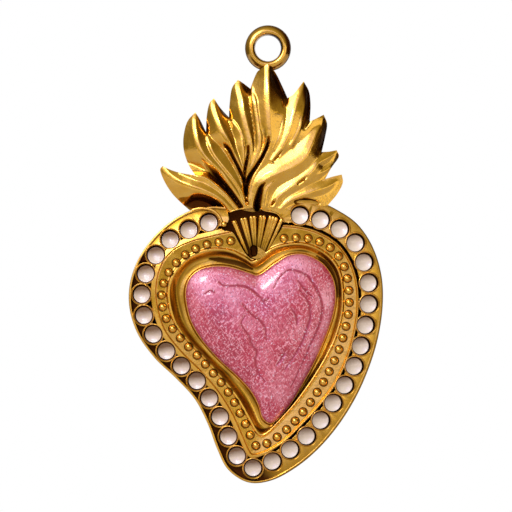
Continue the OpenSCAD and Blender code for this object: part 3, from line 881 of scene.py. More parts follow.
bottom = [(first + i, first + (i + 1) % n, first + n) for i in range(n)]
crown_mesh = bpy.data.meshes.new("flame_crown")
block_points = np.vstack([top_points, foot, foot.mean(0)])
crown_mesh.from_pydata(block_points.tolist(), [], quads.tolist() + sides + bottom)
crown = new_object("flame_crown", crown_mesh)
joined(crown, prism("outline", crown_outline, CUT_FROM_H, CUT_TO_H), "INTERSECT")
joined(crown, prism("throat", heart_at(THROAT_PLATE_PX)[::-1], FLAME_BACK, THROAT_PLATE_H), "UNION")
for line in BASE_LINES_PX:
    bar = swept("base line", level(spline(crown_at(line), 5), BASE_LINE_H), BASE_LINE_R, 10)
    joined(crown, bar, "UNION")
print("crown has", len(crown.data.polygons), "faces")

# %% [markdown]
# ## Painted shade on the crown
# Painted shade lies where a crevice or a hollow is pressed deep, and on the flanks that fall away steeply to
# the right and downward, the side turned from the light.

# %% Painted shade on the crown
PRESSED_FROM, PRESSED_FADE = 0.22, 0.45
FALL_RIGHT, FALL_DOWN = 0.9, 0.35
STEEP_FROM, STEEP_FADE, STEEP_SHADE = 0.72, 0.4, 0.85
pressed = top - relief
fall_down, fall_right = np.gradient(-relief.reshape(len(ys), len(xs)), GRID_PX * PX_MM)
steep = np.clip((FALL_RIGHT * fall_right + FALL_DOWN * fall_down - STEEP_FROM).ravel() / STEEP_FADE, 0, 1)


def on_relief(values, points):
    """A value of the relief's grid at bench points."""
    col = (points[:, 0] / CROWN_MM_PER_PX[0] + LOOP_PX[0] - xs[0]) / GRID_PX
    row = (THROAT_PX - (points[:, 1] - THROAT_Y) / CROWN_MM_PER_PX[1] - ys[0]) / GRID_PX
    col = np.clip(np.rint(col), 0, cols_n - 1).astype(int)
    row = np.clip(np.rint(row), 0, rows_n - 1).astype(int)
    return values[row * cols_n + col]


points = corners(crown)
# painted shade in the pressed crevices and hollows, and on the steep flanks turned from the light
in_grooves = (on_relief(pressed, points) - PRESSED_FROM) / PRESSED_FADE
crown_shade = np.maximum(in_grooves, STEEP_SHADE * on_relief(steep, points))
painted(crown, "soot_and_shade", np.where(points[:, 2] > FLAME_BACK + 0.02, crown_shade, 0))
print("share of the crown under soot:", (crown_shade > 0.5).mean().round(2))

# %% [markdown]
# ## The fan
# Eleven ribs, most of them in pairs, spread from the heart's throat like a fan. Each is a tapered bar with
# a round top end, so it is turned about its own axis. They stand on a lower body, which leaves grooves
# between them that painted shade darkens, and on a small plate at their foot, where a punch left two pits.
# A row of RIBS_PX is the top, the foot and the radius of the top.

# %% Fan
RIBS_PX = [
    (234.4, 222.3, 247.8, 253.8, 0.3), (242, 219.4, 250.3, 248.5, 0.24),
    (245.2, 218.7, 251.6, 248, 0.22), (251.2, 217.4, 254.2, 246.5, 0.24),
    (254.4, 217.1, 255.7, 246.8, 0.22), (261, 216.7, 257.8, 247.8, 0.25),
    (264.2, 216.8, 259.2, 248.6, 0.22), (270.4, 217.2, 260.9, 250.2, 0.24),
    (273.5, 217.7, 262.2, 251.6, 0.22), (276.4, 218.4, 263.6, 252.8, 0.19),
    (281.6, 219.8, 266, 254, 0.22),
]
FAN_BODY_PX = [
    (234, 223), (242, 219.5), (250, 217.8), (258, 217.3), (270, 217.8), (281, 221), (273, 237),
    (265, 252), (257.5, 258.5), (250, 257),
]
FAN_FOOT_PX = [
    (257.6, 246.5), (266.5, 252.5), (262.5, 256.8), (257.5, 259), (251.5, 258), (256.5, 255), (258, 251),
]
PITS_PX = [(253.6, 248.6), (253.9, 253)]
RIB_H = 2.42
RIB_FOOT_R = 0.15
RIB_RISE = 0.25
FAN_BODY_H = (0.5, RIB_H - 0.5)
FAN_FOOT_H = (1.5, RIB_H + 0.02)
FAN_SHADE_H, FAN_SHADE_FADE = 2.5, 0.22


def rib_mesh(top_x, top_y, foot_x, foot_y, top_r):
    """A rib that rises from its foot to its round top end."""
    top, foot = heart_at([top_x, top_y]), heart_at([foot_x, foot_y])
    length = np.linalg.norm(top - foot)
    profile = [(RIB_FOOT_R * 0.5, -0.08), (RIB_FOOT_R, 0)]
    profile += [(RIB_FOOT_R + (top_r - RIB_FOOT_R) * t**0.8, length * t) for t in np.linspace(0.1, 1, 10)]
    profile += [(top_r * math.cos(a), length + 0.8 * top_r * math.sin(a)) for a in (0.35, 0.7, 1.05, 1.35)]
    way = Vector((*(top - foot), RIB_RISE)).normalized()
    place = Matrix.Translation((*foot, RIB_H - RIB_RISE))
    return turned("rib", profile, 24, place @ way.to_track_quat("Z", "Y").to_matrix().to_4x4())


fan = new_object("fan", rib_mesh(*RIBS_PX[0]))
for row in RIBS_PX[1:]:
    joined(fan, rib_mesh(*row), "UNION")
for plate, span in ((FAN_BODY_PX, FAN_BODY_H), (FAN_FOOT_PX, FAN_FOOT_H)):
    joined(fan, prism("fan plate", heart_at(plate)[::-1], *span), "UNION")
pit = [(0.28, 1.2), (0.4, 2.0), (0.43, ABOVE_ALL)]
for at in PITS_PX:
    joined(fan, turned("pit", pit, 20, Matrix.Translation((*heart_at(at), 0))), "DIFFERENCE")
# painted shade darkens the fan towards its lower body, in the grooves between the ribs
painted(fan, "soot_and_shade", (FAN_SHADE_H - corners(fan)[:, 2]) / FAN_SHADE_FADE)
print("fan has", len(fan.data.polygons), "faces")

# %% [markdown]
# ## Painted shade on the casting
# Painted shade fills the recess and the sunken pockets between the cups, and draws a thin brown line of
# painted shade along the rim's right edge, the side turned from the light. Each region is named here by the
# outlines that bound it. The flat back stays clean.

# %% Painted shade in the recess, the pockets and the rim
FRONT_FROM_H = 0.2
RECESS_SHADE_H, RECESS_SHADE_FADE = 2.25, 0.5
POCKET_SHADE_H, POCKET_SHADE_FADE = MOUTH_H - 0.05, 0.4
EDGE_SHADE, EDGE_SHADE_W, EDGE_SHADE_FADE = 0.7, 0.26, 0.12
NEAR_BATCH = 2000


def inside(points, outline):
    """Which points lie inside a closed outline: those with an odd number of edges to their right."""
    found = np.zeros(len(points), bool)
    x, y = points[:, 0], points[:, 1]
    for (ax, ay), (bx, by) in zip(outline, np.roll(outline, -1, 0)):
        if ay == by:
            continue
        crosses = (ay > y) != (by > y)
        found ^= crosses & (x < ax + (y - ay) * (bx - ax) / (by - ay))
    return found


def nearest(points, line):
    """How far points lie from the nearest point of a line, in batches that fit the memory."""
    parts = np.array_split(points[:, :2], max(1, len(points) // NEAR_BATCH))
    return np.concatenate([np.linalg.norm(part[:, None] - line[None], axis=2).min(1) for part in parts])


points = corners(casting)
front = points[:, 2] > FRONT_FROM_H
# painted shade in the recess, darker the deeper a point lies
soot_and_shade = np.where(inside(points, inset(recess, -0.05)), (RECESS_SHADE_H - points[:, 2]) / RECESS_SHADE_FADE, 0)
# painted shade in the sunken pockets between the cups, darker the deeper a point lies
pockets = front & inside(points, inset(rim, RIM_W + 0.02)) & ~inside(points, wall_back)
soot_and_shade = np.where(pockets, np.maximum(soot_and_shade, (POCKET_SHADE_H - points[:, 2]) / POCKET_SHADE_FADE), soot_and_shade)
# a thin line of painted shade along the rim's right edge, the side turned from the light
by_edge = (1 - leftness(points)) * (EDGE_SHADE_W - nearest(points, rim)) / EDGE_SHADE_FADE
soot_and_shade = np.where(front, np.maximum(soot_and_shade, np.minimum(EDGE_SHADE * by_edge, EDGE_SHADE)), soot_and_shade)
print("vertices in the pockets:", int(pockets.sum()))

# %% [markdown]
# ## Streaks and painted shade in the cove
# The cove is darkened all over with painted shade, and over it run streaks round the heart and a few darker
# lines that paint shadow and dark reflection. The streaks are noise stretched along the way round. A row of
# the list of lines below is how dark a line is, its half width in millimetres, and its points. A line is
# thinner towards its ends. All of it fades out towards the lip and the fence.

# %% Streaks and painted shade in the cove
COVE_SHADOW_LINES_PX = [
    (3.0, 0.24, [(210, 258.8), (222, 260.2), (238, 263.4), (252, 269)]),
    (2.6, 0.2, [(317, 256), (327, 264.5), (333.5, 276), (336.5, 290), (337, 297)]),
    (0.85, 0.25, [(174, 280), (176, 300), (181, 322), (193, 340), (210, 360), (226, 377), (240, 396),
        (250, 414)]),
    (1.4, 0.25, [(255, 426), (262, 430), (270, 427)]),
    (1.3, 0.4, [(326, 355), (310, 382), (290, 408), (277, 421)]),
]
STREAKS_ROUND, STREAKS_DOWN = 3.2, 4.5
COVE_SHADE, STREAK_SOOT, COVE_DARK_MOST = 0.34, 0.9, 0.97
LINE_END_W = 0.4
LIP_FADE, FENCE_FROM, FENCE_FADE = 0.12, 0.97, 0.06
cove = inside(points, inset(lip, 0.03)) & ~inside(points, inset(enamel, 0.02))
in_cove = points[cove]
from_lip = nearest(in_cove, lip)
share = from_lip / (from_lip + nearest(in_cove, enamel))
round_heart = np.arctan2(in_cove[:, 1] - enamel[:, 1].mean(), in_cove[:, 0] - enamel[:, 0].mean())
streaks = np.array([
    noise.noise((STREAKS_ROUND * math.cos(t), STREAKS_ROUND * math.sin(t), STREAKS_DOWN * u))
    for t, u in zip(round_heart, share)
])
# painted shade over the whole cove, with streaks of noise round the heart
dirt_and_shade = COVE_SHADE + STREAK_SOOT * streaks
# each line paints shadow and dark reflection in the cove
for strength, width, line in COVE_SHADOW_LINES_PX:
    path = spline(heart_at(line), 8)
    from_end = np.minimum(*(np.linalg.norm(in_cove[:, :2] - end, axis=1) for end in (path[0], path[-1])))
    tapered = width * (LINE_END_W + (1 - LINE_END_W) * np.minimum(from_end, 1))
    dirt_and_shade = np.maximum(dirt_and_shade, strength * bell(nearest(in_cove, path), tapered))
by_lip = np.clip(share / LIP_FADE, 0, 1)
by_fence = np.clip((FENCE_FROM - share) / FENCE_FADE, 0, 1)
soot_and_shade[cove] = np.clip(dirt_and_shade, 0, COVE_DARK_MOST) * by_lip * by_fence
print("vertices in the cove:", int(cove.sum()))

# %% [markdown]
# ## Painted shade between the beads
# The punched hollows between the beads get an even painted shade, a little darker towards the heart's tail.
# The vertices at the flat back are set to 0 at the end.

# %% Painted shade between the beads
BAND_SHADE, BAND_SHADE_MORE = 0.6, 0.14
BAND_SHADE_DEPTH = 0.06
TAIL_Y, TAIL_FADE = -30, 9
CLEAN_BACK_H = 0.4
on_band = inside(points, inset(wall, 0.15)) & ~inside(points, inset(lip, -0.1))
on_band &= points[:, 2] < BAND_H - BAND_SHADE_DEPTH
to_tail = np.clip((TAIL_Y - points[on_band, 1]) / TAIL_FADE, 0, 1)
# painted shade in the punched hollows between the beads, darker towards the tail
soot_and_shade[on_band] = np.maximum(soot_and_shade[on_band], BAND_SHADE + BAND_SHADE_MORE * to_tail)
painted(casting, "soot_and_shade", np.where(points[:, 2] > CLEAN_BACK_H, soot_and_shade, 0))
print("vertices between the beads:", int(on_band.sum()))

# %% [markdown]
# ## The hanging loop
# The loop is a closed ring with a rounded crest in front, and a narrow step outside it at the back. Its
# section is drawn as a few corners (radius, height) whose bends are rounded by the same spline as the
# outlines, and swept round. Painted shade lies along its outer and inner edges, and in the seam where it is
# soldered to the flame.

# %% Hanging loop
LOOP_SECTION = [
    (1.4, 0.45), (1.43, 1.0), (1.47, 1.45), (1.6, 1.7), (1.79, 1.77), (2.0, 1.72), (2.16, 1.6),
    (2.3, 1.4), (2.41, 1.17), (2.48, 0.9), (2.5, 0.6), (2.42, 0.32), (2.15, 0.25), (1.75, 0.25),
    (1.5, 0.28),
]
LOOP_SEGMENTS = 96
section = [tuple(p) for p in spline(LOOP_SECTION, 3, closed=True)]
turns = np.arange(LOOP_SEGMENTS) * math.tau / LOOP_SEGMENTS
points = [(r * math.cos(t), r * math.sin(t), h) for t in turns for r, h in section]
n = len(section)
faces = []
for i in range(LOOP_SEGMENTS):
    here, there = i * n, (i + 1) % LOOP_SEGMENTS * n
    faces += [(here + j, there + j, there + (j + 1) % n, here + (j + 1) % n) for j in range(n)]
loop_mesh = bpy.data.meshes.new("loop_wire")
loop_mesh.from_pydata(points, [], faces)
loop = new_object("loop_wire", loop_mesh)
print("loop has", len(faces), "faces")

# %% Painted shade on the loop
OUTER_SHADE, OUTER_R = 0.8, 2.38
INNER_SHADE, INNER_R, INNER_MORE, INNER_TURN, INNER_REACH = 0.85, 1.48, 0.2, 25, 55
SEAM_SHADE, SEAM_R, SEAM_W, SEAM_TURN, SEAM_REACH = 1.1, 2.1, 0.1, -131, 24
LOOP_SHADE_FADE = 0.08
points = corners(loop)
from_middle = np.linalg.norm(points[:, :2], axis=1)
round_loop = np.degrees(np.arctan2(points[:, 1], points[:, 0]))
inner = INNER_R + INNER_MORE * bell(round_loop - INNER_TURN, INNER_REACH, 4)
# painted shade along the loop's outer and inner edges, and in the seam by the flame
edges = np.maximum(OUTER_SHADE * (from_middle - OUTER_R), INNER_SHADE * (inner - from_middle)) / LOOP_SHADE_FADE
seam = SEAM_SHADE * bell(from_middle - SEAM_R, SEAM_W) * bell(round_loop - SEAM_TURN, SEAM_REACH, 4)
painted(loop, "soot_and_shade", np.maximum(edges, np.where(points[:, 2] > LOOP_PLANE_H, seam, 0)))
print("loop from radius", from_middle.min().round(2), "to", from_middle.max().round(2), "mm")

# %% [markdown]
# ## The enamel heart
# The pink enamel stands up in a soft dome, and the swirls that the enameller drew with a needle show in it
# as dark veins. The dome is one skin over shrinking outlines, closer at the edge where it is steepest. Each
# point keeps how near it is to a vein and to the edge as attributes, so the colour and the shallow grooves
# come from the same numbers.

# %% Veins
VEINS_PX = [
    [
        (274, 287.5), (279, 279), (285, 272.5), (291, 269.8), (299.2, 271.5), (308.6, 276.9),
        (315.7, 287.5), (320.4, 298.1), (322.2, 308.7), (320.4, 320.5), (315.7, 333.5), (309.8, 345.3),
        (306.2, 354.7), (298, 372.4), (290.9, 386.6),
    ],
    [
        (299.2, 289.8), (305.1, 296.9), (309.2, 306.3), (309.8, 318.1), (306.2, 330), (301.5, 342.9),
        (293.3, 357.1), (285, 368.9),
    ],
    [(298, 280.4), (305, 289.8), (312, 296)],
    [(291, 307), (296.2, 317), (296.8, 324)],
    [(219, 282), (226, 285.9), (241.4, 285.7), (250.8, 288.7), (259, 295.7), (265, 301.6)],
    [(242.5, 304), (250.8, 313.4), (260.2, 320.5), (264.9, 327.6), (266.7, 339.4)],
    [
        (244.9, 315.8), (241.4, 324), (248.4, 334.7), (252, 344.1), (256.7, 351.2), (255.5, 360.6),
        (258.5, 372.4), (265, 380.7),
    ],
    [(262, 300), (265, 301.5), (268.5, 299)],
    [(205, 294), (210.7, 291), (215, 292.5)],
    [(285, 353), (281, 359), (276.5, 365)],
]
VEIN_W = 0.15
VEIN_TIP_W = 0.45
VEIN_TIP = 0.08
VEIN_POWER = 1.6
vein_lines = [spline(heart_at(v), 10) for v in VEINS_PX]


def near_vein(points):
    """1 on a vein, fading to 0 beside it, for points in bench millimetres."""
    mask = np.zeros(len(points))
    for line in vein_lines:
        t = np.clip(np.linspace(0, 1, len(line)), VEIN_TIP, 1 - VEIN_TIP)
        width = VEIN_W * (VEIN_TIP_W + (1 - VEIN_TIP_W) * np.sin(math.pi * t))
        gap = np.linalg.norm(points[:, None, :2] - line[None], axis=2)
        mask = np.maximum(mask, bell(gap, width, VEIN_POWER).max(1))
    return mask


print("veins:", len(vein_lines))

# %% Enamel dome
GROOVE = 0.06
DOME_STEPS = 18
DOME_RINGS = 110
RINGS_CROWD = 1.4
DOME_RISE = 1.0
DOME_FLAT, DOME_ROUND = 2.8, 0.62
shares = (1 - np.linspace(0, 1, DOME_RINGS) ** RINGS_CROWD)[:-1]
middle = (enamel.max(0) + enamel.min(0)) / 2
edge_line = inset(spline(heart_at(ENAMEL_PX), DOME_STEPS, closed=True), 0.03)
rings = [level(edge_line, FENCE_H - 0.4), level(edge_line, FENCE_H - 0.05)]
for share in shares:
    rise = DOME_RISE * (1 - share**DOME_FLAT) ** DOME_ROUND
    rings.append(level(between(middle[None], edge_line, share), FENCE_H - 0.03 + rise))
enamel_piece = new_object("enamel_dome", ring_mesh("enamel_dome", rings))
co = corners(enamel_piece)
on_vein = near_vein(co)
co[:, 2] -= GROOVE * on_vein
enamel_piece.data.vertices.foreach_set("co", co.ravel())
to_edge = np.zeros(len(co))
to_edge[: len(rings) * len(edge_line)] = np.repeat([1.0, 1.0, *shares], len(edge_line))
print("points on veins:", int((on_vein > 0.5).sum()))

# %% [markdown]
# ## Light and dark patches
# The enamel is deeper in some patches and paler in others, and the pale patches at the upper left, upper
# right and right also paint the sheen of highlights on the dome. A row of the list below is such a patch:
# its place and reach in pixels, and how much paler, or below 0 how much deeper, it is.

# %% Light and dark patches
# the pale patches at the upper left, upper right and right paint the sheen of highlights
TONES_AND_SHEEN = [
    (206, 287, 13, 0.8), (231, 296, 9, 0.7), (268, 284, 9, 0.7), (300, 262, 13, 1.05),
    (327, 300, 9, 1.1), (325, 325, 7, 0.6), (314, 350, 8, 0.5), (249, 325, 7, 0.2), (300, 330, 6, 0.3),
    (240, 281, 8, 0.4), (278, 395, 9, 0.2), (213, 325, 12, -0.8), (232, 348, 14, -0.9),
    (250, 372, 10, -0.9), (284, 352, 9, -0.8), (222, 312, 9, -0.75), (266, 302, 5, -1.0),
    (262, 335, 7, -0.4), (268, 408, 9, -0.5), (329, 275, 6, -0.6), (290, 315, 8, -0.4),
]
tone = np.full(len(co), 0.5)
for x, y, reach, strength in TONES_AND_SHEEN:
    gap = np.linalg.norm(co[:, :2] - heart_at([x, y]), axis=1)
    tone += 0.5 * strength * bell(gap, reach * HEART_MM_PER_PX[0])
for name, values in (("vein", on_vein), ("edge", to_edge), ("tone", tone)):
    painted(enamel_piece, name, values)
print("tone from", tone.min().round(2), "to", tone.max().round(2))

# %% [markdown]
# ## Drops of pearl enamel
# Thirty-two drops fill the cups. A drop of melted enamel clings to its cup, so its face is dished, with a
# soft rounded edge and a hair of a gap where it drew back from the metal. Each gets a painted shadow towards
# its upper side, where the collar hangs over it, and the drops on the left get a darker painted shade and
# those on the right a lighter one, to even out the light from the upper left.

# %% Drops
PEARL_SUNK = 0.36
DISH = 0.22
DROP_R = 0.94
DISH_R = DROP_R - 0.08
DROP_SHIFT = (-0.035, -0.04)
SHADE_WAY = np.array([-0.1, 0.995])
SIDE_SHADE = 0.22
drop_profile = [
    (DROP_R - 0.02, -CUP_DEPTH + 0.002),
    (DROP_R, -PEARL_SUNK - 0.12),
    (DROP_R - 0.015, -PEARL_SUNK - 0.04),
    (DROP_R - 0.05, -PEARL_SUNK),
]
drop_profile += [(r, -PEARL_SUNK - DISH * (1 - (r / DISH_R) ** 2)) for r in np.linspace(DISH_R, 0.04, 14)]
drops = []
for k, (point, normal) in enumerate(zip(pearl_points, pearl_normals), 1):
    place = Matrix.Translation((*DROP_SHIFT, 0)) @ at_mouth(point, normal)
    drop = new_object(f"drop_{k:02d}", turned("drop", drop_profile, 40, place))
    # a painted shadow towards the upper side of each drop
    across = (corners(drop)[:, :2] - point) @ SHADE_WAY / (2 * DROP_R)
    # the drops on the left get a darker painted shade, those on the right a lighter one
    side_shade = SIDE_SHADE * (leftness(point[None])[0] - 0.5)
    painted(drop, "shaded", 0.5 + side_shade + across)
    drops.append(drop)
print("drops:", len(drops))

# %% [markdown]
# ## Off the bench
# Every piece now stands up from the bench into the upright frame. Shading is smooth except across sharp
# edges.

# %% Stand the pieces up
SOFT_ANGLE = math.radians(38)


def finished(obj):
    """Stands a bench piece up, in metres, smooth except at its sharp edges."""
    mesh = obj.data
    mesh.vertices.foreach_set("co", stand(corners(obj)).ravel())
    mesh.shade_smooth()
    mesh.set_sharp_from_angle(angle=SOFT_ANGLE)
    mesh.update()
    print(obj.name, "has", len(mesh.polygons), "faces")


for piece in (casting, beads, crown, fan, loop, enamel_piece, *drops):
    finished(piece)

# %% [markdown]
# ## Finishes
# Gilding and pearl share a painted shade in crevices, worked out with ambient occlusion, and all three
# finishes share a fine unevenness from the hand. Each effect is a shader node group with named inputs,
# placed in each material with its own values. A few helpers add nodes, because every material below is a
# chain of mixed colours and stretched ranges.

# %% Node helpers


def fill(tree, inputs, values):
    """Sets inputs by name or number, with numbers, colours or sockets."""
    for key, value in values.items():
        if isinstance(value, bpy.types.NodeSocket):
            tree.links.new(value, inputs[key])
        else:
            inputs[key].default_value = value


def add(tree, kind, values=None, **settings):
    """Adds a node with its settings and input values."""
    node = tree.nodes.new(kind)
    for key, value in settings.items():
        setattr(node, key, value)
    fill(tree, node.inputs, values or {})
    return node


def mixed(tree, share, a, b):
    """A colour between two, a at share 0 and b at share 1."""
    return add(tree, "ShaderNodeMix", {0: share, 6: a, 7: b}, data_type="RGBA").outputs[2]


def spread(tree, value, low, high, to_low=0.0, to_high=1.0):
    """A value's range stretched to another."""
    return add(tree, "ShaderNodeMapRange", {0: value, 1: low, 2: high, 3: to_low, 4: to_high}).outputs[0]


def worked(tree, operation, *values, **settings):
    """A number worked out from others, such as ADD or MULTIPLY."""
    return add(tree, "ShaderNodeMath", dict(enumerate(values)), operation=operation, **settings).outputs[0]


def kept(tree, name):
    """A value that a piece keeps at its vertices."""
    return add(tree, "ShaderNodeAttribute", attribute_name=name).outputs["Fac"]


def bumped(tree, height, strength, distance, under=None):
    """A bumped normal, on top of another one where it is given."""
    values = {"Height": height, "Strength": strength, "Distance": distance}
    if under:
        values["Normal"] = under
    return add(tree, "ShaderNodeBump", values).outputs[0]


def material(name):
    """A new finish, with its node tree and the inputs of its shader."""
    mat = bpy.data.materials.new(name)
    mat.use_nodes = True
    tree = mat.node_tree
    return mat, tree, tree.nodes["Principled BSDF"].inputs

# %% Shared effects


def group(name, inputs, outputs):
    tree = bpy.data.node_groups.new(name, "ShaderNodeTree")
    for label, value in inputs.items():
        tree.interface.new_socket(label, in_out="INPUT", socket_type="NodeSocketFloat").default_value = value
    for label, kind in outputs.items():
        tree.interface.new_socket(label, in_out="OUTPUT", socket_type=kind)
    return tree, tree.nodes.new("NodeGroupInput").outputs, tree.nodes.new("NodeGroupOutput").inputs


def use(tree, which, **values):
    """Places a shared effect with its own values."""
    node = add(tree, "ShaderNodeGroup", node_tree=which)
    fill(tree, node.inputs, values)
    return node.outputs


# painted shade in crevices: ambient occlusion turned into a mask that darkens the colour
crevice, given, result = group("painted_crevice_shade", {"Reach": 0.0008, "Depth": 1.0}, {"Mask": "NodeSocketFloat"})
shade = add(crevice, "ShaderNodeAmbientOcclusion", {"Distance": given["Reach"]}, samples=8)
dark = worked(crevice, "SUBTRACT", 1.0, shade.outputs["AO"])
fill(crevice, result, {"Mask": worked(crevice, "MULTIPLY", dark, given["Depth"], use_clamp=True)})

hand, given, result = group(
    "hand_unevenness",
    {"Size": 2000.0, "Detail": 3.0},
    {"Value": "NodeSocketFloat", "Fine": "NodeSocketFloat"},
)
place = add(hand, "ShaderNodeTexCoord").outputs["Object"]
broad = add(hand, "ShaderNodeTexNoise", {"Vector": place, "Scale": given["Size"], "Detail": given["Detail"]})
finer = worked(hand, "MULTIPLY", given["Size"], 6.0)
fine = add(hand, "ShaderNodeTexNoise", {"Vector": place, "Scale": finer, "Detail": 2.0})
fill(hand, result, {"Value": broad.outputs["Fac"], "Fine": fine.outputs["Fac"]})
print("groups:", [g.name for g in bpy.data.node_groups])

# %% [markdown]
# ## Gilding
# Gold plate over brass is a mirror that has been handled: bright on what stands proud, with painted shade
# in what lies deep. The base colour is the colour that the metal gives to a reflection, so it is lighter
# than the gold looks in the photograph. Clean gold carries a thin clear coat. Where painted shade lies, from
# ambient occlusion in crevices and from the value kept at the vertices, which also holds the cove's streaks,
# there is no coat, the metal is rougher and its colour turns to a dark brown.

# %% Gold
GOLD = (0.9, 0.45, 0.03, 1)
GOLD_PALE = (0.95, 0.52, 0.06, 1)
GOLD_DARK = (0.06, 0.016, 0.002, 1)


def gilding(name, rough):
    """Gold plate, as rough as given where it is clean."""
    mat, tree, skin = material(name)
    crevice_shade = use(tree, crevice, Reach=0.0007, Depth=1.15)["Mask"]
    uneven = use(tree, hand, Size=900.0)
    tone = mixed(tree, spread(tree, uneven["Value"], 0.35, 0.7), GOLD, GOLD_PALE)
    # painted shade from the crevice mask and from the value kept at the vertices
    dirt_and_shade = worked(tree, "MAXIMUM", spread(tree, crevice_shade, 0.5, 1.0), kept(tree, "soot_and_shade"))
    handled = spread(tree, uneven["Value"], 0.3, 0.7, rough, rough + 0.08)
    broad = bumped(tree, uneven["Value"], 0.45, 0.00009)
    fill(tree, skin, {
        "Base Color": mixed(tree, dirt_and_shade, tone, GOLD_DARK),
        "Metallic": 1.0,
        "Roughness": worked(tree, "MULTIPLY_ADD", dirt_and_shade, 0.25, handled),
        "Coat Weight": spread(tree, dirt_and_shade, 0.0, 0.5, 1.0, 0.0),
        "Coat Roughness": 0.1,
        "Normal": bumped(tree, uneven["Fine"], 0.25, 0.00003, broad),
    })
    return mat


gold_cast = gilding("gilt_casting_finish", 0.15)
gold_wire = gilding("gilt_loop_finish", 0.13)
print("finishes:", gold_cast.name, gold_wire.name)

# %% [markdown]
# ## Pink enamel
# The enamel is a deep pink ground, clouded paler and deeper by the patches of tone and painted sheen. Over
# it lie fine slanting strokes, two sets pale and one dark, then the veins, a sprinkle of glitter and a
# darker edge. Each stroke set is one noise squeezed in one direction and turned, because a painted image
# would tie the enamel to one size.

# %% Pink enamel
PINK = (0.53, 0.03, 0.056, 1)
PINK_PALE = (0.88, 0.36, 0.385, 1)
PINK_DEEP = (0.33, 0.01, 0.026, 1)
PINK_VEIN = (0.34, 0.005, 0.025, 1)
GLITTER = (0.98, 0.74, 0.78, 1)
STROKES = [(0.75, 7500.0), (-0.6, 8200.0), (0.1, 8400.0)]
STROKE_LONG = (1, 1, 3.4)
enamel_mat, tree, skin = material("pink_enamel_finish")
uneven = use(tree, hand, Size=420.0, Detail=4.0)
sparkle = use(tree, hand, Size=6500.0, Detail=1.0)
place = add(tree, "ShaderNodeTexCoord").outputs["Object"]
strokes = []
for turn, size in STROKES:
    values = {"Vector": place, "Rotation": (0, turn, 0), "Scale": STROKE_LONG}
    brush = add(tree, "ShaderNodeMapping", values, vector_type="TEXTURE").outputs[0]
    values = {"Vector": brush, "Scale": size, "Detail": 1.0, "Distortion": 0.35}
    strokes.append(add(tree, "ShaderNodeTexNoise", values).outputs["Fac"])
pale = worked(tree, "MAXIMUM", strokes[0], strokes[1])
shade = worked(tree, "MULTIPLY_ADD", uneven["Value"], 0.5, kept(tree, "tone"))
colour = PINK
for value, low, high, most, next_colour in (
    (shade, 0.65, 1.25, 0.8, PINK_PALE),
    (shade, 0.75, 0.35, 0.6, PINK_DEEP),
    (strokes[2], 0.48, 0.34, 0.75, PINK_DEEP),
    (pale, 0.55, 0.7, 0.84, PINK_PALE),
    (kept(tree, "vein"), 0.15, 0.65, 0.95, PINK_VEIN),
    (sparkle["Value"], 0.66, 0.71, 0.9, GLITTER),
    (kept(tree, "edge"), 0.93, 1.0, 0.6, PINK_DEEP),
):
    colour = mixed(tree, spread(tree, value, low, high, 0.0, most), colour, next_colour)
glitter_bump = bumped(tree, sparkle["Value"], 0.5, 0.00003)
fill(tree, skin, {
    "Base Color": colour,
    "Metallic": 0.2,
    "Roughness": spread(tree, sparkle["Value"], 0.45, 0.7, 0.5, 0.25),
    "Coat Weight": 0.8,
    "Coat Roughness": 0.12,
    "Normal": bumped(tree, pale, 0.5, 0.00003, glitter_bump),
})
print("finish:", enamel_mat.name, "with", len(tree.nodes), "nodes")

# %% [markdown]
# ## Pearl enamel
# The drops are a warm cream enamel, painted lighter below and with painted shade towards the top, where each
# drop's shaded value is high. A little unevenness keeps the change from being a clean ramp, and painted
# shade from ambient occlusion darkens the gap by the collar.

# %% Pearl enamel
PEARL = (0.76, 0.61, 0.43, 1)
PEARL_LIT = (0.9, 0.77, 0.58, 1)
PEARL_SHADE = (0.21, 0.1, 0.03, 1)
pearl_mat, tree, skin = material("pearl_enamel_finish")
crevice_shade = use(tree, crevice, Reach=0.0006, Depth=1.0)["Mask"]
uneven = use(tree, hand, Size=700.0)
wavy = worked(tree, "MULTIPLY_ADD", uneven["Value"], 0.25, kept(tree, "shaded"))
# painted light below and painted shade towards the top of each drop
cream = mixed(tree, spread(tree, wavy, 0.2, 0.5), PEARL_LIT, PEARL)
top_shade = mixed(tree, spread(tree, wavy, 0.58, 1.02), cream, PEARL_SHADE)
fill(tree, skin, {
    "Base Color": mixed(tree, spread(tree, crevice_shade, 0.3, 0.9), top_shade, PEARL_SHADE),
    "Roughness": spread(tree, uneven["Fine"], 0.3, 0.7, 0.22, 0.3),
    "Coat Weight": 0.6,
    "Coat Roughness": 0.12,
    "Normal": bumped(tree, uneven["Value"], 0.15, 0.00004),
})
print("finish:", pearl_mat.name)

# %% [markdown]
# ## Pieces, bodies and finishes
# The charm doesn't move, so every piece rides on the one body. Four pieces show the casting between them,
# because frame, beads, crown and fan are easier to shape apart. Each gets its finish, and the CAD nodes that
# it stands for are hidden.

# %% Dress the pieces and let them ride
for piece, mat, slot, nodes in (
    (casting, gold_cast, "gilt_casting", ["cast_body"]),
    (beads, gold_cast, "gilt_casting", ["cast_body"]),
    (crown, gold_cast, "gilt_casting", ["cast_body"]),
    (fan, gold_cast, "gilt_casting", ["cast_body"]),
    (loop, gold_wire, "gilt_loop", ["hanging_loop"]),
    (enamel_piece, enamel_mat, "pink_enamel", ["enamel_heart"]),
    *((drop, pearl_mat, "pearl_enamel", [f"pearl_{k:02d}"]) for k, drop in enumerate(drops, 1)),
):
    piece.data.materials.clear()
    piece.data.materials.append(mat)
    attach(piece, "root")
    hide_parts(*nodes)
print("pieces:", 6 + len(drops))

# %% [markdown]
# ## Studio
# The charm hangs over a plain white floor. The camera looks straight at it from the front with a long lens,
# as the photograph does.

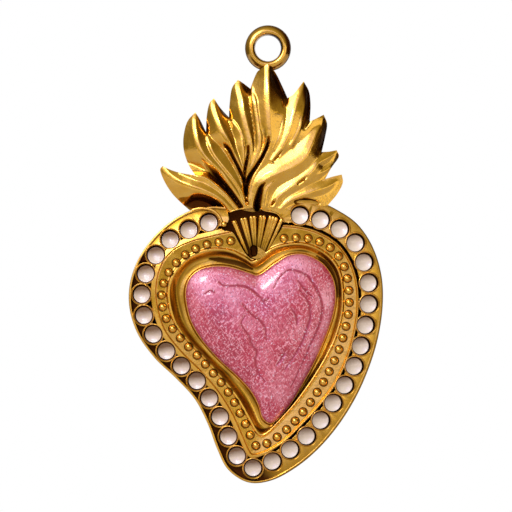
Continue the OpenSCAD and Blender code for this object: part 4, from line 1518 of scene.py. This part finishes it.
# %% Camera
VIEW_MM = PHOTO_PX * HEART_MM_PER_PX[0]
CAMERA_FAR_MM = 450
SENSOR_MM = 36
centre = heart_at([PHOTO_PX / 2, PHOTO_PX / 2])
camera_data = bpy.data.cameras.new("camera")
camera_data.sensor_width = SENSOR_MM
camera_data.lens = SENSOR_MM * CAMERA_FAR_MM / VIEW_MM
camera_data.clip_start = 0.01
camera = new_object("camera", camera_data)
camera.location = (centre[0] * MM, -CAMERA_FAR_MM * MM, centre[1] * MM)
camera.rotation_euler = (math.radians(90), 0, 0)
bpy.context.scene.camera = camera
print("camera sees", round(VIEW_MM, 2), "mm")

# %% Floor
FLOOR_Z = -0.072
bpy.ops.mesh.primitive_plane_add(size=0.5, location=(0, 0.02, FLOOR_Z))
floor = bpy.context.object
floor.name = "floor"
floor_mat, tree, skin = material("floor_paper")
fill(tree, skin, {"Base Color": (0.8, 0.8, 0.8, 1), "Roughness": 0.9})
floor.data.materials.append(floor_mat)

# %% [markdown]
# ## What the gold reflects
# Polished gold shows little colour of its own: what it looks like is the room. So the world is a room that
# only reflections and soft light see. It is bright towards the upper left and brown away from it, with a
# wide cool window in front, a dark blind at the lower right and a darker far left. The camera sees plain
# white in its place, and so does a reflection of what lies behind the charm.

# %% World
SKY = [
    (-1.0, (0.02, 0.007, 0.002)), (-0.4, (0.035, 0.013, 0.004)), (0.0, (0.12, 0.085, 0.03)),
    (0.3, (0.26, 0.235, 0.1)), (0.6, (0.36, 0.335, 0.15)), (0.8, (0.48, 0.46, 0.3)),
    (0.92, (0.8, 0.8, 1.0)), (1.0, (1.3, 1.35, 3.0)),
]
SKY_FROM = (-0.55, -0.62, 0.56)
FAR_LEFT = (-0.75, -1.0, 0.0, 0.6)
BEHIND = (0.8, 0.95)
WINDOW = ((-0.2, -0.93, 0.3), 0.914, 0.966, 1.0, (1.0, 1.03, 2.2, 1))
BLIND = ((0.45, -0.63, -0.63), 0.9, 0.95, 0.95, (0.02, 0.008, 0.002, 1))
BLACK, WHITE = (0, 0, 0, 1), (1, 1, 1, 1)
world = bpy.data.worlds.new("studio")
bpy.context.scene.world = world
world.use_nodes = True
tree = world.node_tree
tree.nodes.clear()
path = add(tree, "ShaderNodeLightPath").outputs
way = add(tree, "ShaderNodeTexCoord").outputs["Generated"]
axes = add(tree, "ShaderNodeSeparateXYZ", {0: way}).outputs


def facing(direction):
    """How far the way of a ray agrees with a direction, from -1 to 1."""
    values = {0: way, 1: Vector(direction).normalized()}
    return add(tree, "ShaderNodeVectorMath", values, operation="DOT_PRODUCT").outputs["Value"]


ramp = add(tree, "ShaderNodeValToRGB", {0: spread(tree, facing(SKY_FROM), -1, 1)})
for _ in SKY[2:]:
    ramp.color_ramp.elements.new(0.5)
for stop, (dot, colour) in zip(ramp.color_ramp.elements, SKY):
    stop.position = (dot + 1) / 2
    stop.color = (*colour, 1)
room = mixed(tree, spread(tree, axes["X"], *FAR_LEFT), ramp.outputs[0], BLACK)
for direction, rim_dot, full_dot, most, colour in (WINDOW, BLIND):
    room = mixed(tree, spread(tree, facing(direction), rim_dot, full_dot, 0.0, most), room, colour)
behind = spread(tree, axes["Y"], *BEHIND)
mirrored = worked(tree, "MAXIMUM", path["Is Glossy Ray"], path["Is Transmission Ray"])
white = worked(tree, "MAXIMUM", path["Is Camera Ray"], worked(tree, "MULTIPLY", mirrored, behind))
sky = add(tree, "ShaderNodeBackground", {"Color": mixed(tree, white, room, WHITE), "Strength": 1.0})
add(tree, "ShaderNodeOutputWorld", {"Surface": sky.outputs[0]})
print("world has", len(tree.nodes), "nodes")

# %% [markdown]
# ## Lights
# Four soft square lights look at the heart's middle: the key from the upper left, a weaker fill from the
# lower right, a wash that lights the enamel but doesn't show in the gold, and a small spark for the crisp
# highlights.

# %% Lights
LIGHTS = {
    "key": ((-0.17, -0.245, 0.16), 0.47, 0.2),
    "fill": ((0.18, -0.3, -0.08), 0.19, 0.26),
    "wash": ((0.22, -0.27, -0.02), 0.2, 0.26),
    "spark": ((-0.11, -0.35, 0.12), 0.14, 0.04),
}
LIT_PLACE = Vector((0, 0, -0.024))
for name, (place, power, size) in LIGHTS.items():
    data = bpy.data.lights.new(name, "AREA")
    data.energy = power
    data.size = size
    light = new_object(name, data)
    light.location = place
    light.rotation_euler = (LIT_PLACE - Vector(place)).to_track_quat("-Z", "Y").to_euler()
    light.visible_glossy = name != "wash"
bpy.context.scene.view_settings.view_transform = "Standard"
print("lights:", list(LIGHTS))
